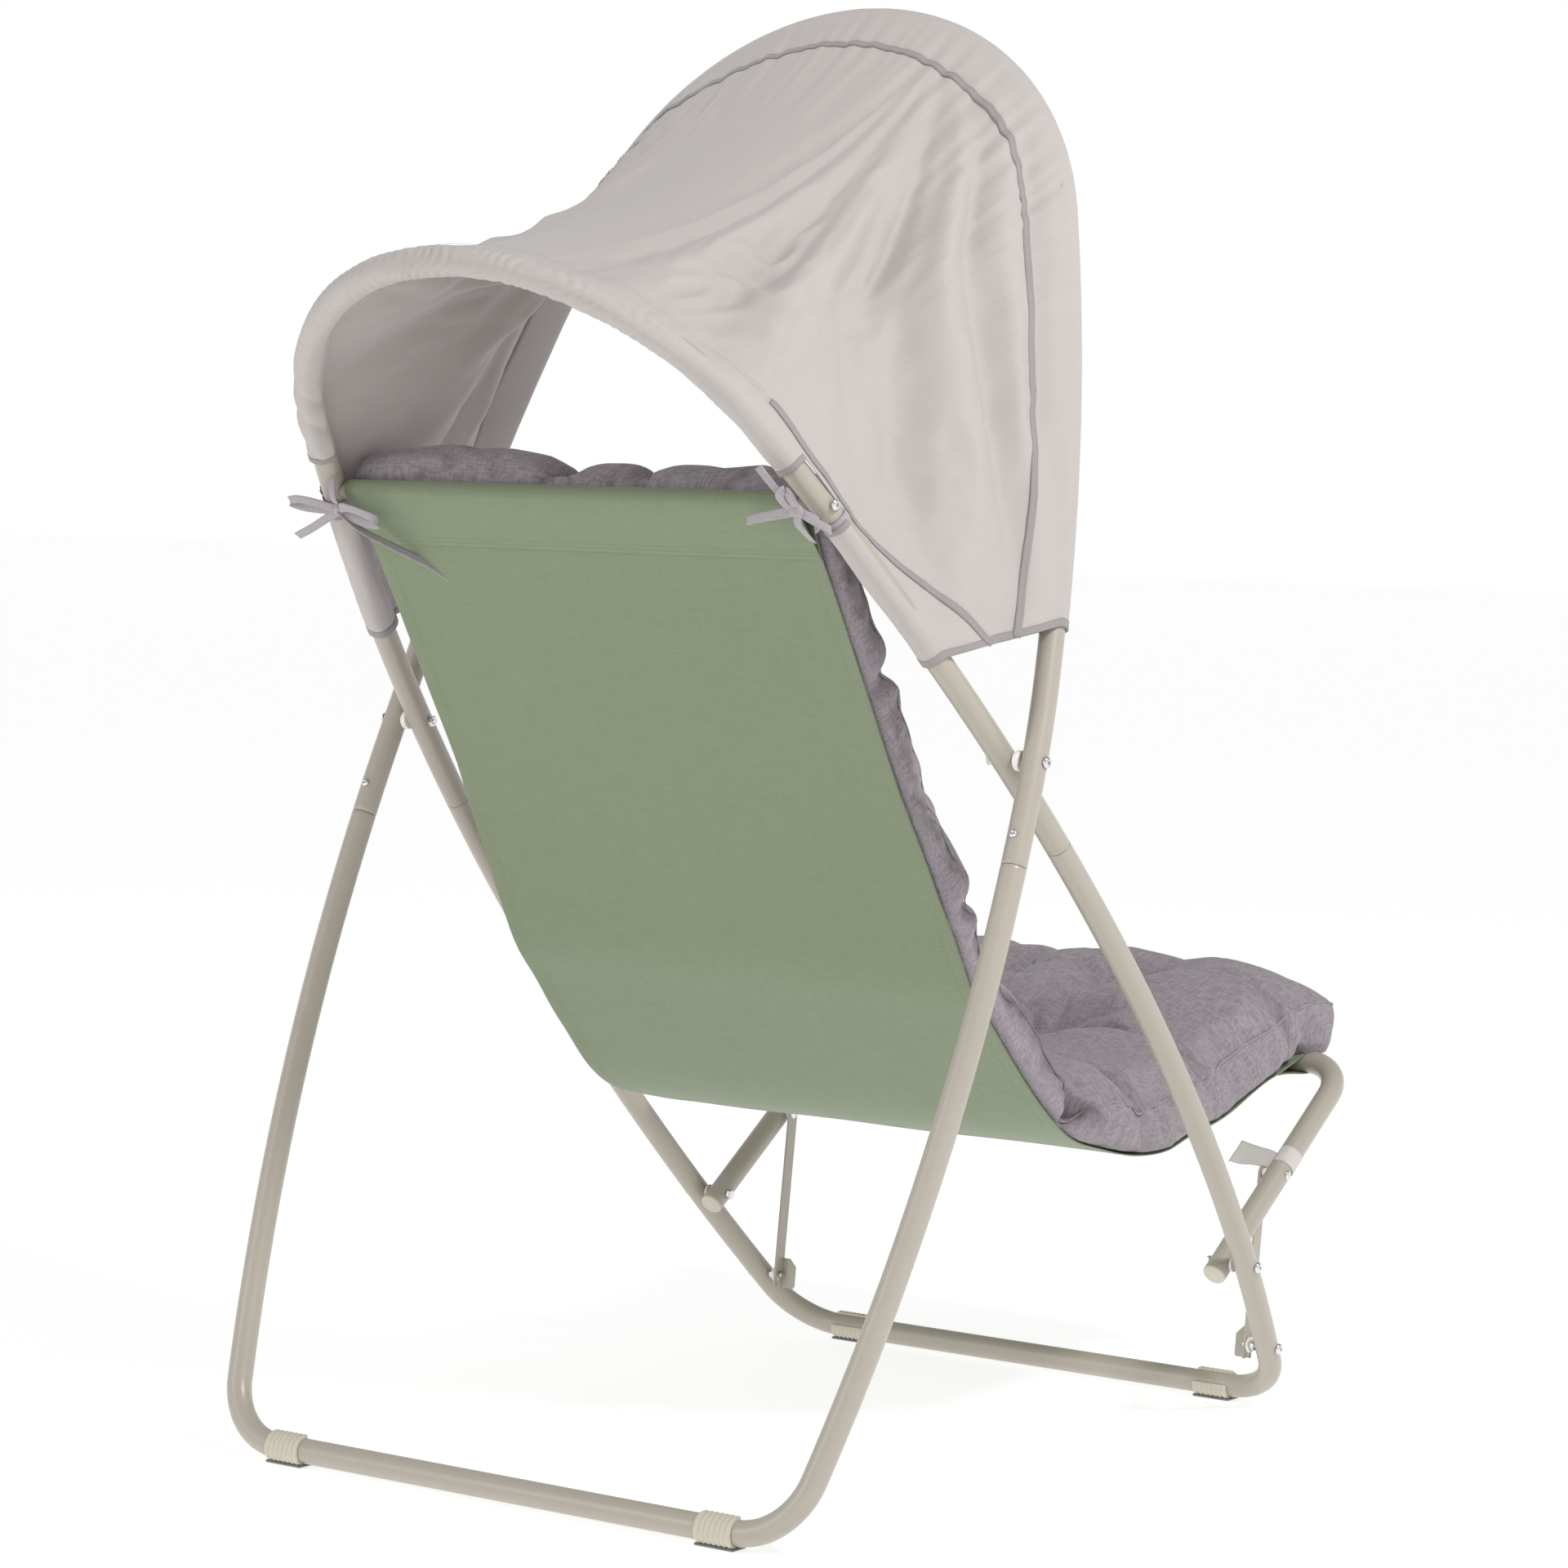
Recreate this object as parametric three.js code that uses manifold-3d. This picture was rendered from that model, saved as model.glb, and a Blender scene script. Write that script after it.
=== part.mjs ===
// Folding sun lounger with a canopy. Millimetres, +Z up, the sitter faces -Y, +X is the sitter's left.
// Two bent tube frames cross at a pivot on each side. The back frame carries the sling and the rear
// edge of the canopy, the leg frame carries the front edge of the canopy. A seat frame swings on the
// back frame and is held up by two hooked struts.
import * as THREE from 'three';
import { mergeVertices } from 'three/addons/utils/BufferGeometryUtils.js';
import Module from 'manifold-3d';

const wasm = await Module();
wasm.setup();

// Tube and general clearances
const TUBE_OD = 25.4;
const TUBE_WALL = 1.5;
const TUBE_SIDES = 12;
const TOUCH_GAP = 0.3;
const CUT_OVERRUN = 20;
const TURN = 2 * Math.PI;

// Main pivot, where the two frames cross
const PIVOT_HEIGHT = 731;
const PIVOT_BEHIND_ORIGIN = 184;

// Floor contact: the tubes rest on clip feet
const SOLE_THICKNESS = 2.8;
const FLOOR_BEND_RADIUS = 75;

// Both frames have sides bowed to one large radius
const SIDE_BOW_RADIUS = 2600;

// Back frame: front legs, backrest sides and rear canopy hoop
const BACK_LEAN_DEG = 42.3;
const BACK_HALF_WIDTH = 391.5;
const BACK_WIDEST_DROP = 358;
const BACK_HOOP_RISE = 619;
const BACK_SPLICE_DROP = 118;

// Leg frame: rear legs and front canopy hoop
const LEG_LEAN_DEG = -22.35;
// It runs outside the back frame, with a spacer's room between the tubes at the pivot
const FRAME_GAP = 9.16;
const LEG_WIDEST_DROP = 200;
const LEG_HOOP_RISE = 784;
const LEG_SPLICE_DROP = 107;
// The pull of the canopy bends the front hoop back above the pivot
const HOOP_RAKE_DEG = 3;
const HOOP_RAKE_BEND_LENGTH = 80;

// Tube splices: the lower tube is swaged to slip into the upper one
const SWAGE_LENGTH = 45;
const SWAGE_CLEARANCE = 0.25;
const SWAGE_WALL = 1.2;
const SPLICE_SEAM = 0.4;
const SPLICE_SCREW_RISE = 30;

// Seat frame
const SEAT_PIVOT_HEIGHT = 177.8;
const SEAT_RISE_DEG = 35.9;
const SEAT_ARM_LENGTH = 320;
const SEAT_TAIL_LENGTH = 17;
const SEAT_CORNER_RADIUS = 50;
const SEAT_SPACER_LENGTH = 4.6;
const END_CAP_HEAD = 3;
const END_CAP_PLUG = 14;

// Hooked struts that hold the seat frame up
const STRUT_ALONG_ARM = 140;
const STRUT_STUD_HEIGHT = 75;
const STRUT_WIDTH = 16;
const STRUT_THICKNESS = 2.5;
const STRUT_TAB_REACH = 20;
const STRUT_TAB_HEIGHT = 34;
const STRUT_TAB_CHAMFER = 10;
const STUD_WASHER_LENGTH = 4;
const STUD_COLLAR_LENGTH = 6;
const STUD_COLLAR_RADIUS = 5.5;
const HOOK_SLOT_CLEARANCE = 0.5;
const HOOK_TAIL = 15;

// Sling bar between the backrest sides
const TOP_BAR_RISE = 326;
const TOP_BAR_OD = 19;
const TOP_BAR_WALL = 1.5;

// Fasteners
const BOLT_RADIUS = 3;
const BOLT_HOLE_CLEARANCE = 0.3;
const BOLT_HEAD_RADIUS = 6;
const BOLT_HEAD_HEIGHT = 3.2;
const FASTENER_SIDES = 10;
const SOCKET_RADIUS = 2;
const SOCKET_DEPTH = 1.8;
const NUT_RADIUS = 5.5;
const NUT_HEIGHT = 4.5;
const NUT_SHANK_CLEARANCE = 0.15;
const SPACER_RADIUS = 10;
const WASHER_RADIUS = 8.5;
const BAR_SCREW_RADIUS = 2.5;
const BAR_SCREW_LENGTH = 30;
const SPLICE_SCREW_HEAD_RADIUS = 4.2;
const SPLICE_SCREW_HEAD_HEIGHT = 2.2;
const SPLICE_SCREW_RADIUS = 2;
const SPLICE_SCREW_LENGTH = 9;

// Clip feet
const FOOT_LENGTH = 42;
const FOOT_OVER_BEND = 5;
const FOOT_INNER_GAP = 1.5;
const FOOT_WALL = 1.6;
const FOOT_RIB_HEIGHT = 1.0;
const FOOT_RIBS = 7;
const SOLE_WIDTH = 22;
const SOLE_OVERHANG = 3;
const FOOT_TURN_STEPS = 8;
const FOOT_LIP_TOP_DEG = 102;
const FOOT_LIP_BOTTOM_DEG = -188;

// Fabric sling, hung from the top bar to the front bar, as distances from the main pivot
const SLING_THICKNESS = 1.2;
const SLING_POCKET = 62;
const SLING_HEM = 70;
const SLING_LAYER_GAP = 0.6;
const SLING_STEPS = 36;
const SLING_LINE = [
  [172, 169],
  [130, 101],
  [89, 34],
  [46, -35],
  [-31, -165],
  [-74, -237],
  [-109, -275],
  [-163, -331],
  [-214, -378],
  [-251, -400],
  [-305, -415],
  [-385, -430],
  [-445, -431],
  [-488, -423],
  [-572, -408],
  [-675, -376],
];
// The cloth is cut wider where the seat meets the back: [distance behind the main pivot, how far its
// edge lies inside the widest place of the back frame]
const SLING_SIDE_INSETS = [
  [245, 113.5],
  [45, 113.5],
  [-30, 104.5],
  [-108, 99.5],
  [-163, 96.5],
  [-214, 92.5],
  [-385, 94.5],
  [-572, 101.5],
  [-825, 108.5],
];

// Seat and back cushion
const CUSHION_BESIDE_SLING = 4;
const CUSHION_THICKNESS = 68;
const CUSHION_EDGE_HEIGHT = 46;
const CUSHION_TOP_OVERHANG = 12;
const CUSHION_FRONT_OVERHANG = 42;
const CUSHION_REST_GAP = 1.4;
const TUFT_PITCH = 134;
const TUFT_FROM_TOP = 86;
const TUFT_SIDE_OFFSET = 66;
const TUFT_DEPTH = 22;
const TUFT_SPREAD = 44;
const SIDE_PINCH = 9;
const CREASE_FROM_TOP = 800;
const CREASE_DEPTH = 30;
const CREASE_SPREAD = 42;
const CUSHION_STATIONS = 44;
const CUSHION_END_ROUND = 34;

// Canopy
const HEM_RISE = 135;
const CANOPY_THICKNESS = 1.2;
const SLEEVE_INNER_RADIUS = 14.3;
const SLEEVE_WRAP_START_DEG = -30;
const SLEEVE_POINTS = 8;
const WEB_POINTS = 4;
const WEB_SAG = 70;
const HOOP_SIDE_STEPS = 3;
const HOOP_ARCH_STEPS = 7;
const SIDE_STEPS = 7;
const BEND_STEPS = 5;
const NOTCH_RADIUS = 44;

// Ties and tag
const TIE_RISE = 300;
const TIE_BAND_WIDTH = 9;
const TIE_CLOTH = 1.4;
const TIE_BAND_GAP = 1;
const TIE_KNOT_RADIUS = 6.5;
const TIE_LOOP_LENGTH = 34;
const TIE_LOOP_RADIUS = 8;
const TIE_TAIL_LENGTH = 62;
const TIE_KNOT_INSETS = { left: 6, right: 40 };
const TIE_KNOT_BACK_SHARE = 0.22;
const TIE_KNOT_RISE = 24;

// A blank flag label round the right arm of the seat frame
const LABEL_ALONG_ARM = 161;
const LABEL_WIDTH = 24;
const LABEL_LENGTH = 56;
const LABEL_THICKNESS = 0.6;
const LABEL_TILT_DEG = 12;
const LABEL_CURL = 12;

// Materials
const paint = new THREE.MeshStandardMaterial({ color: 0xb9b0a2, roughness: 0.42, metalness: 0.1 });
const zinc = new THREE.MeshStandardMaterial({ color: 0xc4c4c6, roughness: 0.3, metalness: 0.9 });
const whitePlastic = new THREE.MeshStandardMaterial({ color: 0xf0efeb, roughness: 0.45, metalness: 0 });
const footPlastic = new THREE.MeshStandardMaterial({ color: 0xb5ab98, roughness: 0.6, metalness: 0 });
const canopyCloth = new THREE.MeshStandardMaterial({ color: 0xc9c4c1, roughness: 0.9, metalness: 0 });
const slingCloth = new THREE.MeshStandardMaterial({ color: 0x8fa281, roughness: 0.85, metalness: 0 });
const cushionCloth = new THREE.MeshStandardMaterial({ color: 0x9a9298, roughness: 0.95, metalness: 0 });
const tagCloth = new THREE.MeshStandardMaterial({ color: 0xf2f0ef, roughness: 0.8, metalness: 0 });

const degrees = THREE.MathUtils.degToRad;
const tubeRadius = TUBE_OD / 2;
const floorBarHeight = tubeRadius + SOLE_THICKNESS;
const holeRadius = BOLT_RADIUS + BOLT_HOLE_CLEARANCE;
const SIDES = [
  { name: 'right', sign: -1 },
  { name: 'left', sign: 1 },
];

const chair = new THREE.Group();

function place(name, geometry, material) {
  const mesh = new THREE.Mesh(geometry, material);
  mesh.name = name;
  chair.add(mesh);
}

// Solids

function positionsOnly(geometry) {
  const bare = geometry.index ? geometry.toNonIndexed() : geometry.clone();
  bare.deleteAttribute('normal');
  bare.deleteAttribute('uv');
  return mergeVertices(bare, 1e-4);
}

function toSolid(geometry) {
  const merged = positionsOnly(geometry);
  const mesh = new wasm.Mesh({
    numProp: 3,
    vertProperties: merged.attributes.position.array,
    triVerts: new Uint32Array(merged.index.array),
  });
  const solid = new wasm.Manifold(mesh);
  if (solid.volume() >= 0) return solid;
  merged.index.array.reverse();
  return toSolid(merged);
}

function toGeometry(solid) {
  const mesh = solid.getMesh();
  const geometry = new THREE.BufferGeometry();
  geometry.setAttribute('position', new THREE.BufferAttribute(mesh.vertProperties, 3));
  geometry.setIndex(new THREE.BufferAttribute(mesh.triVerts, 1));
  return geometry;
}

function cut(geometry, tools) {
  return toGeometry(tools.reduce((left, tool) => left.subtract(toSolid(tool)), toSolid(geometry)));
}

function join(parts) {
  return toGeometry(parts.slice(1).reduce((sum, part) => sum.add(toSolid(part)), toSolid(parts[0])));
}

// A closed body through rings of points. Each ring has as many points as the next.
// With ends "joined" the last ring meets the first, otherwise both ends are capped. In a cloth of two
// layers the second half of each ring is the first half reversed, and is split along the same diagonals.
function loft(rings, ends = 'capped', layers = 1) {
  const count = rings[0].length;
  const points = rings.flat();
  const faces = [];
  const rows = ends === 'joined' ? rings.length : rings.length - 1;
  for (let row = 0; row < rows; row += 1) {
    const here = row * count;
    const next = ((row + 1) % rings.length) * count;
    for (let i = 0; i < count; i += 1) {
      const j = (i + 1) % count;
      const [a, b, c, d] = [here + i, here + j, next + j, next + i];
      if (layers === 2 && i >= count / 2) faces.push(a, b, d, b, c, d);
      else faces.push(a, b, c, a, c, d);
    }
  }
  if (ends === 'capped') {
    capFaces(rings[0]).forEach(([a, b, c]) => faces.push(c, b, a));
    const last = (rings.length - 1) * count;
    capFaces(rings.at(-1)).forEach(([a, b, c]) => faces.push(last + a, last + b, last + c));
  }
  const geometry = new THREE.BufferGeometry().setFromPoints(points);
  geometry.setIndex(faces);
  return toGeometry(toSolid(geometry));
}

// Triangles of a flat ring, in the ring's own direction of travel
function capFaces(ring) {
  const normal = new THREE.Vector3();
  ring.forEach((point, i) => normal.add(point.clone().cross(ring[(i + 1) % ring.length])));
  normal.normalize();
  const across = ring[1].clone().sub(ring[0]).normalize();
  const up = normal.clone().cross(across);
  const flat = ring.map((point) => new THREE.Vector2(point.dot(across), point.dot(up)));
  return THREE.ShapeUtils.triangulateShape(flat, []);
}

// A lathe about the X axis: the profile gives [distance along X, radius]
function latheAlongX(profile, segments = FASTENER_SIDES) {
  const outline = profile.map(([along, radius]) => new THREE.Vector2(radius, along));
  return toGeometry(toSolid(new THREE.LatheGeometry(outline, segments).rotateZ(-Math.PI / 2)));
}

function rodAlongX(centre, radius, length, segments = TUBE_SIDES) {
  const rod = new THREE.CylinderGeometry(radius, radius, length, segments).rotateZ(Math.PI / 2);
  return rod.translate(centre.x, centre.y, centre.z);
}

// A flat outline in the YZ plane, extruded across X
function extrudeAcross(outline, fromX, toX) {
  const shape = new THREE.Shape(outline.map(([y, z]) => new THREE.Vector2(y, z)));
  const body = new THREE.ExtrudeGeometry(shape, { depth: toX - fromX, bevelEnabled: false });
  const axes = new THREE.Matrix4().makeBasis(
    new THREE.Vector3(0, 1, 0),
    new THREE.Vector3(0, 0, 1),
    new THREE.Vector3(1, 0, 0),
  );
  return body.applyMatrix4(axes).translate(fromX, 0, 0);
}

// Tube frames

// A frame lies in a leaning plane through the main pivot. Its points are [x, rise above the pivot].
function makeFrame(leanDeg, widest, widestDrop, hoopRise, rakeDeg = 0) {
  const lean = degrees(leanDeg);
  const up = new THREE.Vector3(0, Math.sin(lean), Math.cos(lean));
  const back = new THREE.Vector3(0, Math.cos(lean), -Math.sin(lean));
  const bowCentre = widest - SIDE_BOW_RADIUS;
  const halfWidth = (rise) => bowCentre + Math.sqrt(SIDE_BOW_RADIUS ** 2 - (rise + widestDrop) ** 2);
  const floorRise = (floorBarHeight - PIVOT_HEIGHT) / Math.cos(lean);
  const bendRise = floorRise + FLOOR_BEND_RADIUS;
  const bendReach = SIDE_BOW_RADIUS - FLOOR_BEND_RADIUS;
  const bendX = bowCentre + Math.sqrt(bendReach ** 2 - (bendRise + widestDrop) ** 2);
  const topOverBow = hoopRise + widestDrop;
  const archRadius =
    (SIDE_BOW_RADIUS ** 2 - bowCentre ** 2 - topOverBow ** 2) / (2 * (SIDE_BOW_RADIUS - topOverBow));
  const archRise = hoopRise - archRadius;
  const archTurn = Math.atan2(archRise + widestDrop, -bowCentre);
  const bendTurn = Math.atan2(bendRise + widestDrop, bendX - bowCentre);
  const rakeOffset = (rise) => {
    if (rise <= 0) return 0;
    const slope = Math.tan(degrees(rakeDeg));
    if (rise < HOOP_RAKE_BEND_LENGTH) return (slope * rise ** 2) / (2 * HOOP_RAKE_BEND_LENGTH);
    return slope * (rise - HOOP_RAKE_BEND_LENGTH / 2);
  };
  const at = (x, rise) =>
    new THREE.Vector3(x, PIVOT_BEHIND_ORIGIN, PIVOT_HEIGHT)
      .addScaledVector(up, rise)
      .addScaledVector(back, rakeOffset(rise));
  return {
    up, back, at, halfWidth, floorRise, bendX, bendRise, bendTurn, archRadius, archRise, archTurn, hoopRise,
    archStart: archRise + archRadius * Math.sin(archTurn),
  };
}

const backFrame = makeFrame(BACK_LEAN_DEG, BACK_HALF_WIDTH, BACK_WIDEST_DROP, BACK_HOOP_RISE);
const bowDepth = (drop) => SIDE_BOW_RADIUS - Math.sqrt(SIDE_BOW_RADIUS ** 2 - drop ** 2);
const legHalfWidth = backFrame.halfWidth(0) + TUBE_OD + FRAME_GAP + bowDepth(LEG_WIDEST_DROP);
const legFrame = makeFrame(LEG_LEAN_DEG, legHalfWidth, LEG_WIDEST_DROP, LEG_HOOP_RISE, HOOP_RAKE_DEG);

// How far below the main pivot, along the back frame, a point at this height lies
const backDrop = (height) => (PIVOT_HEIGHT - height) / Math.cos(degrees(BACK_LEAN_DEG));
const seatPivotDrop = backDrop(SEAT_PIVOT_HEIGHT);
const strutStudDrop = backDrop(STRUT_STUD_HEIGHT);

function evenly(from, to, steps) {
  return Array.from({ length: steps + 1 }, (_, i) => from + ((to - from) * i) / steps);
}

function mirrored(half) {
  return [...half, ...half.slice(0, -1).reverse().map(([x, rise]) => [-x, rise])];
}

// Left half of the lower U from its top end down to the middle of the floor bar
function lowerPath(frame, topRise) {
  const bendTop = frame.bendRise + FLOOR_BEND_RADIUS * Math.sin(frame.bendTurn);
  const sides = evenly(topRise, bendTop, SIDE_STEPS).map((rise) => [frame.halfWidth(rise), rise]);
  const bend = evenly(frame.bendTurn, -Math.PI / 2, BEND_STEPS).slice(1).map((turn) => [
    frame.bendX + FLOOR_BEND_RADIUS * Math.cos(turn),
    frame.bendRise + FLOOR_BEND_RADIUS * Math.sin(turn),
  ]);
  return mirrored([...sides, ...bend, [0, frame.floorRise]]);
}

// Stations of the left half of a hoop from the canopy hem up to the top of the arch
function hoopStations(frame) {
  const sides = evenly(HEM_RISE, frame.archStart, HOOP_SIDE_STEPS).map((rise) => [
    frame.halfWidth(rise),
    rise,
  ]);
  const arch = evenly(frame.archTurn, Math.PI / 2, HOOP_ARCH_STEPS).slice(1).map((turn) => [
    frame.archRadius * Math.cos(turn),
    frame.archRise + frame.archRadius * Math.sin(turn),
  ]);
  return [...sides, ...arch];
}

function upperPath(frame, spliceDrop) {
  const rises = [SPLICE_SEAM - spliceDrop, SWAGE_LENGTH - spliceDrop, 0];
  return mirrored([...rises.map((rise) => [frame.halfWidth(rise), rise]), ...hoopStations(frame)]);
}

// Unit direction of travel at each point of an open path
function tangents(path) {
  return path.map((_, i) => {
    const after = path[Math.min(i + 1, path.length - 1)];
    const before = path[Math.max(i - 1, 0)];
    return after.clone().sub(before).normalize();
  });
}

function ringAround(centre, tangent, normal, radius, sides = TUBE_SIDES) {
  const side = normal.clone().cross(tangent).normalize();
  const upright = tangent.clone().cross(side);
  return Array.from({ length: sides }, (_, i) => {
    const turn = (TURN * (i + 0.5)) / sides;
    const out = side.clone().multiplyScalar(Math.cos(turn)).addScaledVector(upright, Math.sin(turn));
    return centre.clone().addScaledVector(out, radius);
  });
}

// A hollow tube along points in space. radii gives [outer, inner] at each point.
function hollowTube(points, normal, radii) {
  const along = tangents(points);
  const outer = points.map((point, i) => ringAround(point, along[i], normal, radii[i][0]));
  const inner = points.map((point, i) => ringAround(point, along[i], normal, radii[i][1]));
  return loft([...outer, ...inner.reverse()], 'joined');
}

const plainRadii = (points) => points.map(() => [tubeRadius, tubeRadius - TUBE_WALL]);

// Hole cutters

const boreAlongX = (centre, radius = holeRadius) =>
  rodAlongX(centre, radius, TUBE_OD + CUT_OVERRUN, TUBE_SIDES);

function boreAlong(direction, centre, radius, length) {
  const bore = new THREE.CylinderGeometry(radius, radius, length, TUBE_SIDES);
  bore.applyQuaternion(new THREE.Quaternion().setFromUnitVectors(new THREE.Vector3(0, 1, 0), direction));
  return bore.translate(centre.x, centre.y, centre.z);
}

// The swaged tail of a lower tube, cut to fit inside the upper tube it meets
const swageOuter = tubeRadius - TUBE_WALL - SWAGE_CLEARANCE;
const swageRadii = [swageOuter, swageOuter - SWAGE_WALL];

function lowerTube(frame, spliceDrop, cutters) {
  const flat = lowerPath(frame, -spliceDrop);
  const points = flat.map(([x, rise]) => frame.at(x, rise));
  const radii = plainRadii(points);
  const tail = (sign) => {
    const rises = [-spliceDrop, -spliceDrop + SWAGE_LENGTH];
    return rises.map((rise) => frame.at(sign * frame.halfWidth(rise), rise));
  };
  const left = tail(1).reverse();
  const right = tail(-1);
  const all = [...left, ...points, ...right];
  const sizes = [swageRadii, swageRadii, ...radii, swageRadii, swageRadii];
  return cut(hollowTube(all, frame.back, sizes), cutters);
}

const spliceScrewPlace = (sign) => {
  const rise = SPLICE_SCREW_RISE - LEG_SPLICE_DROP;
  return legFrame.at(sign * legFrame.halfWidth(rise), rise);
};

function tubeCentre(frame, sign, rise) {
  return frame.at(sign * frame.halfWidth(rise), rise);
}

const topBarCentre = (sign) => tubeCentre(backFrame, sign, TOP_BAR_RISE);
const seatPivotOnBack = (sign) => tubeCentre(backFrame, sign, -seatPivotDrop);
const studOnBack = (sign) => tubeCentre(backFrame, sign, -strutStudDrop);

function makeFrontLegs() {
  const cutters = SIDES.flatMap(({ sign }) => [
    boreAlongX(seatPivotOnBack(sign)),
    boreAlongX(studOnBack(sign)),
  ]);
  place('front_leg_frame', lowerTube(backFrame, BACK_SPLICE_DROP, cutters), paint);
}

function makeBackHoop() {
  const points = upperPath(backFrame, BACK_SPLICE_DROP).map(([x, rise]) => backFrame.at(x, rise));
  const cutters = SIDES.flatMap(({ sign }) => [
    boreAlongX(tubeCentre(backFrame, sign, 0)),
    boreAlongX(topBarCentre(sign), BAR_SCREW_RADIUS + BOLT_HOLE_CLEARANCE),
  ]);
  const tube = hollowTube(points, backFrame.back, plainRadii(points));
  place('backrest_hoop', cut(tube, cutters), paint);
}

function makeRearLegs() {
  const cutters = SIDES.map(({ sign }) => spliceBore(sign));
  place('rear_leg_frame', lowerTube(legFrame, LEG_SPLICE_DROP, cutters), paint);
}

// The splice screw enters from behind
function spliceBore(sign) {
  const centre = spliceScrewPlace(sign).addScaledVector(legFrame.back, TUBE_OD / 2);
  return boreAlong(legFrame.back, centre, SPLICE_SCREW_RADIUS + BOLT_HOLE_CLEARANCE, TUBE_OD);
}

function makeFrontHoop() {
  const points = upperPath(legFrame, LEG_SPLICE_DROP).map(([x, rise]) => legFrame.at(x, rise));
  const cutters = SIDES.flatMap(({ sign }) => [boreAlongX(tubeCentre(legFrame, sign, 0)), spliceBore(sign)]);
  const tube = hollowTube(points, legFrame.back, plainRadii(points));
  place('canopy_front_hoop', cut(tube, cutters), paint);
}

// Seat frame

const seatRise = degrees(SEAT_RISE_DEG);
const seatForward = new THREE.Vector3(0, -Math.cos(seatRise), Math.sin(seatRise));
const seatUp = new THREE.Vector3(0, Math.sin(seatRise), Math.cos(seatRise));
const seatHalfWidth = backFrame.halfWidth(-seatPivotDrop) - TUBE_OD - SEAT_SPACER_LENGTH;
const seatPivotMiddle = backFrame.at(0, -seatPivotDrop);
const seatPoint = (x, along) =>
  new THREE.Vector3(x, 0, 0).add(seatPivotMiddle).addScaledVector(seatForward, along);
const frontBarMiddle = seatPoint(0, SEAT_ARM_LENGTH);

function seatPath() {
  const cornerX = seatHalfWidth - SEAT_CORNER_RADIUS;
  const cornerAlong = SEAT_ARM_LENGTH - SEAT_CORNER_RADIUS;
  const corner = evenly(0, Math.PI / 2, BEND_STEPS).map((turn) => [
    cornerX + SEAT_CORNER_RADIUS * Math.cos(turn),
    cornerAlong + SEAT_CORNER_RADIUS * Math.sin(turn),
  ]);
  return mirrored([[seatHalfWidth, -SEAT_TAIL_LENGTH], ...corner, [0, SEAT_ARM_LENGTH]]);
}

function makeSeatFrame() {
  const points = seatPath().map(([x, along]) => seatPoint(x, along));
  const cutters = SIDES.flatMap(({ sign }) => [
    boreAlongX(seatPoint(sign * seatHalfWidth, 0)),
    boreAlongX(seatPoint(sign * seatHalfWidth, STRUT_ALONG_ARM)),
  ]);
  const tube = hollowTube(points, seatUp, plainRadii(points));
  place('seat_frame', cut(tube, cutters), paint);
}

function makeEndCap({ name, sign }) {
  const plugRadius = (tubeRadius - TUBE_WALL) * Math.cos(Math.PI / TUBE_SIDES) - SWAGE_CLEARANCE;
  const profile = [
    [-TOUCH_GAP - END_CAP_HEAD, 0],
    [-TOUCH_GAP - END_CAP_HEAD, tubeRadius - END_CAP_HEAD / 2],
    [-TOUCH_GAP - END_CAP_HEAD / 2, tubeRadius],
    [-TOUCH_GAP, tubeRadius],
    [-TOUCH_GAP, plugRadius],
    [END_CAP_PLUG - holeRadius, plugRadius],
    [END_CAP_PLUG - holeRadius, 0],
  ];
  const cap = latheAlongX(profile, TUBE_SIDES);
  const turn = new THREE.Quaternion().setFromUnitVectors(new THREE.Vector3(1, 0, 0), seatForward);
  cap.applyQuaternion(turn);
  const end = seatPoint(sign * seatHalfWidth, -SEAT_TAIL_LENGTH);
  place(`seat_end_cap_${name}`, cap.translate(end.x, end.y, end.z), whitePlastic);
}

// Fasteners along X. A bolt's head lies on the outer side.

// Room for a flat face of the given radius beside a tube that leans sideways at this rise
function faceGap(frame, rise, radius) {
  const lean = Math.abs(frame.halfWidth(rise + 1) - frame.halfWidth(rise - 1)) / 2;
  return TOUCH_GAP * 1.5 + lean * radius;
}

function boltProfile(length, radius = BOLT_RADIUS) {
  return [
    [-SOCKET_DEPTH + BOLT_HEAD_HEIGHT, 0],
    [-SOCKET_DEPTH + BOLT_HEAD_HEIGHT, SOCKET_RADIUS],
    [BOLT_HEAD_HEIGHT, SOCKET_RADIUS],
    [BOLT_HEAD_HEIGHT, BOLT_HEAD_RADIUS / 2],
    [BOLT_HEAD_HEIGHT / 2, BOLT_HEAD_RADIUS * Math.cos(Math.PI / 6)],
    [0, BOLT_HEAD_RADIUS],
    [0, radius],
    [-length, radius],
    [-length, 0],
  ];
}

function placeAlongX(name, profile, x, centre, sign, material) {
  const body = latheAlongX(profile);
  if (sign < 0) body.rotateY(Math.PI);
  place(name, body.translate(x, centre.y, centre.z), material);
}

function ringProfile(length, outer, inner) {
  return [
    [-length, inner],
    [-length, outer],
    [0, outer],
    [0, inner],
    [-length, inner],
  ];
}

const boreInRing = BOLT_RADIUS + NUT_SHANK_CLEARANCE;

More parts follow.
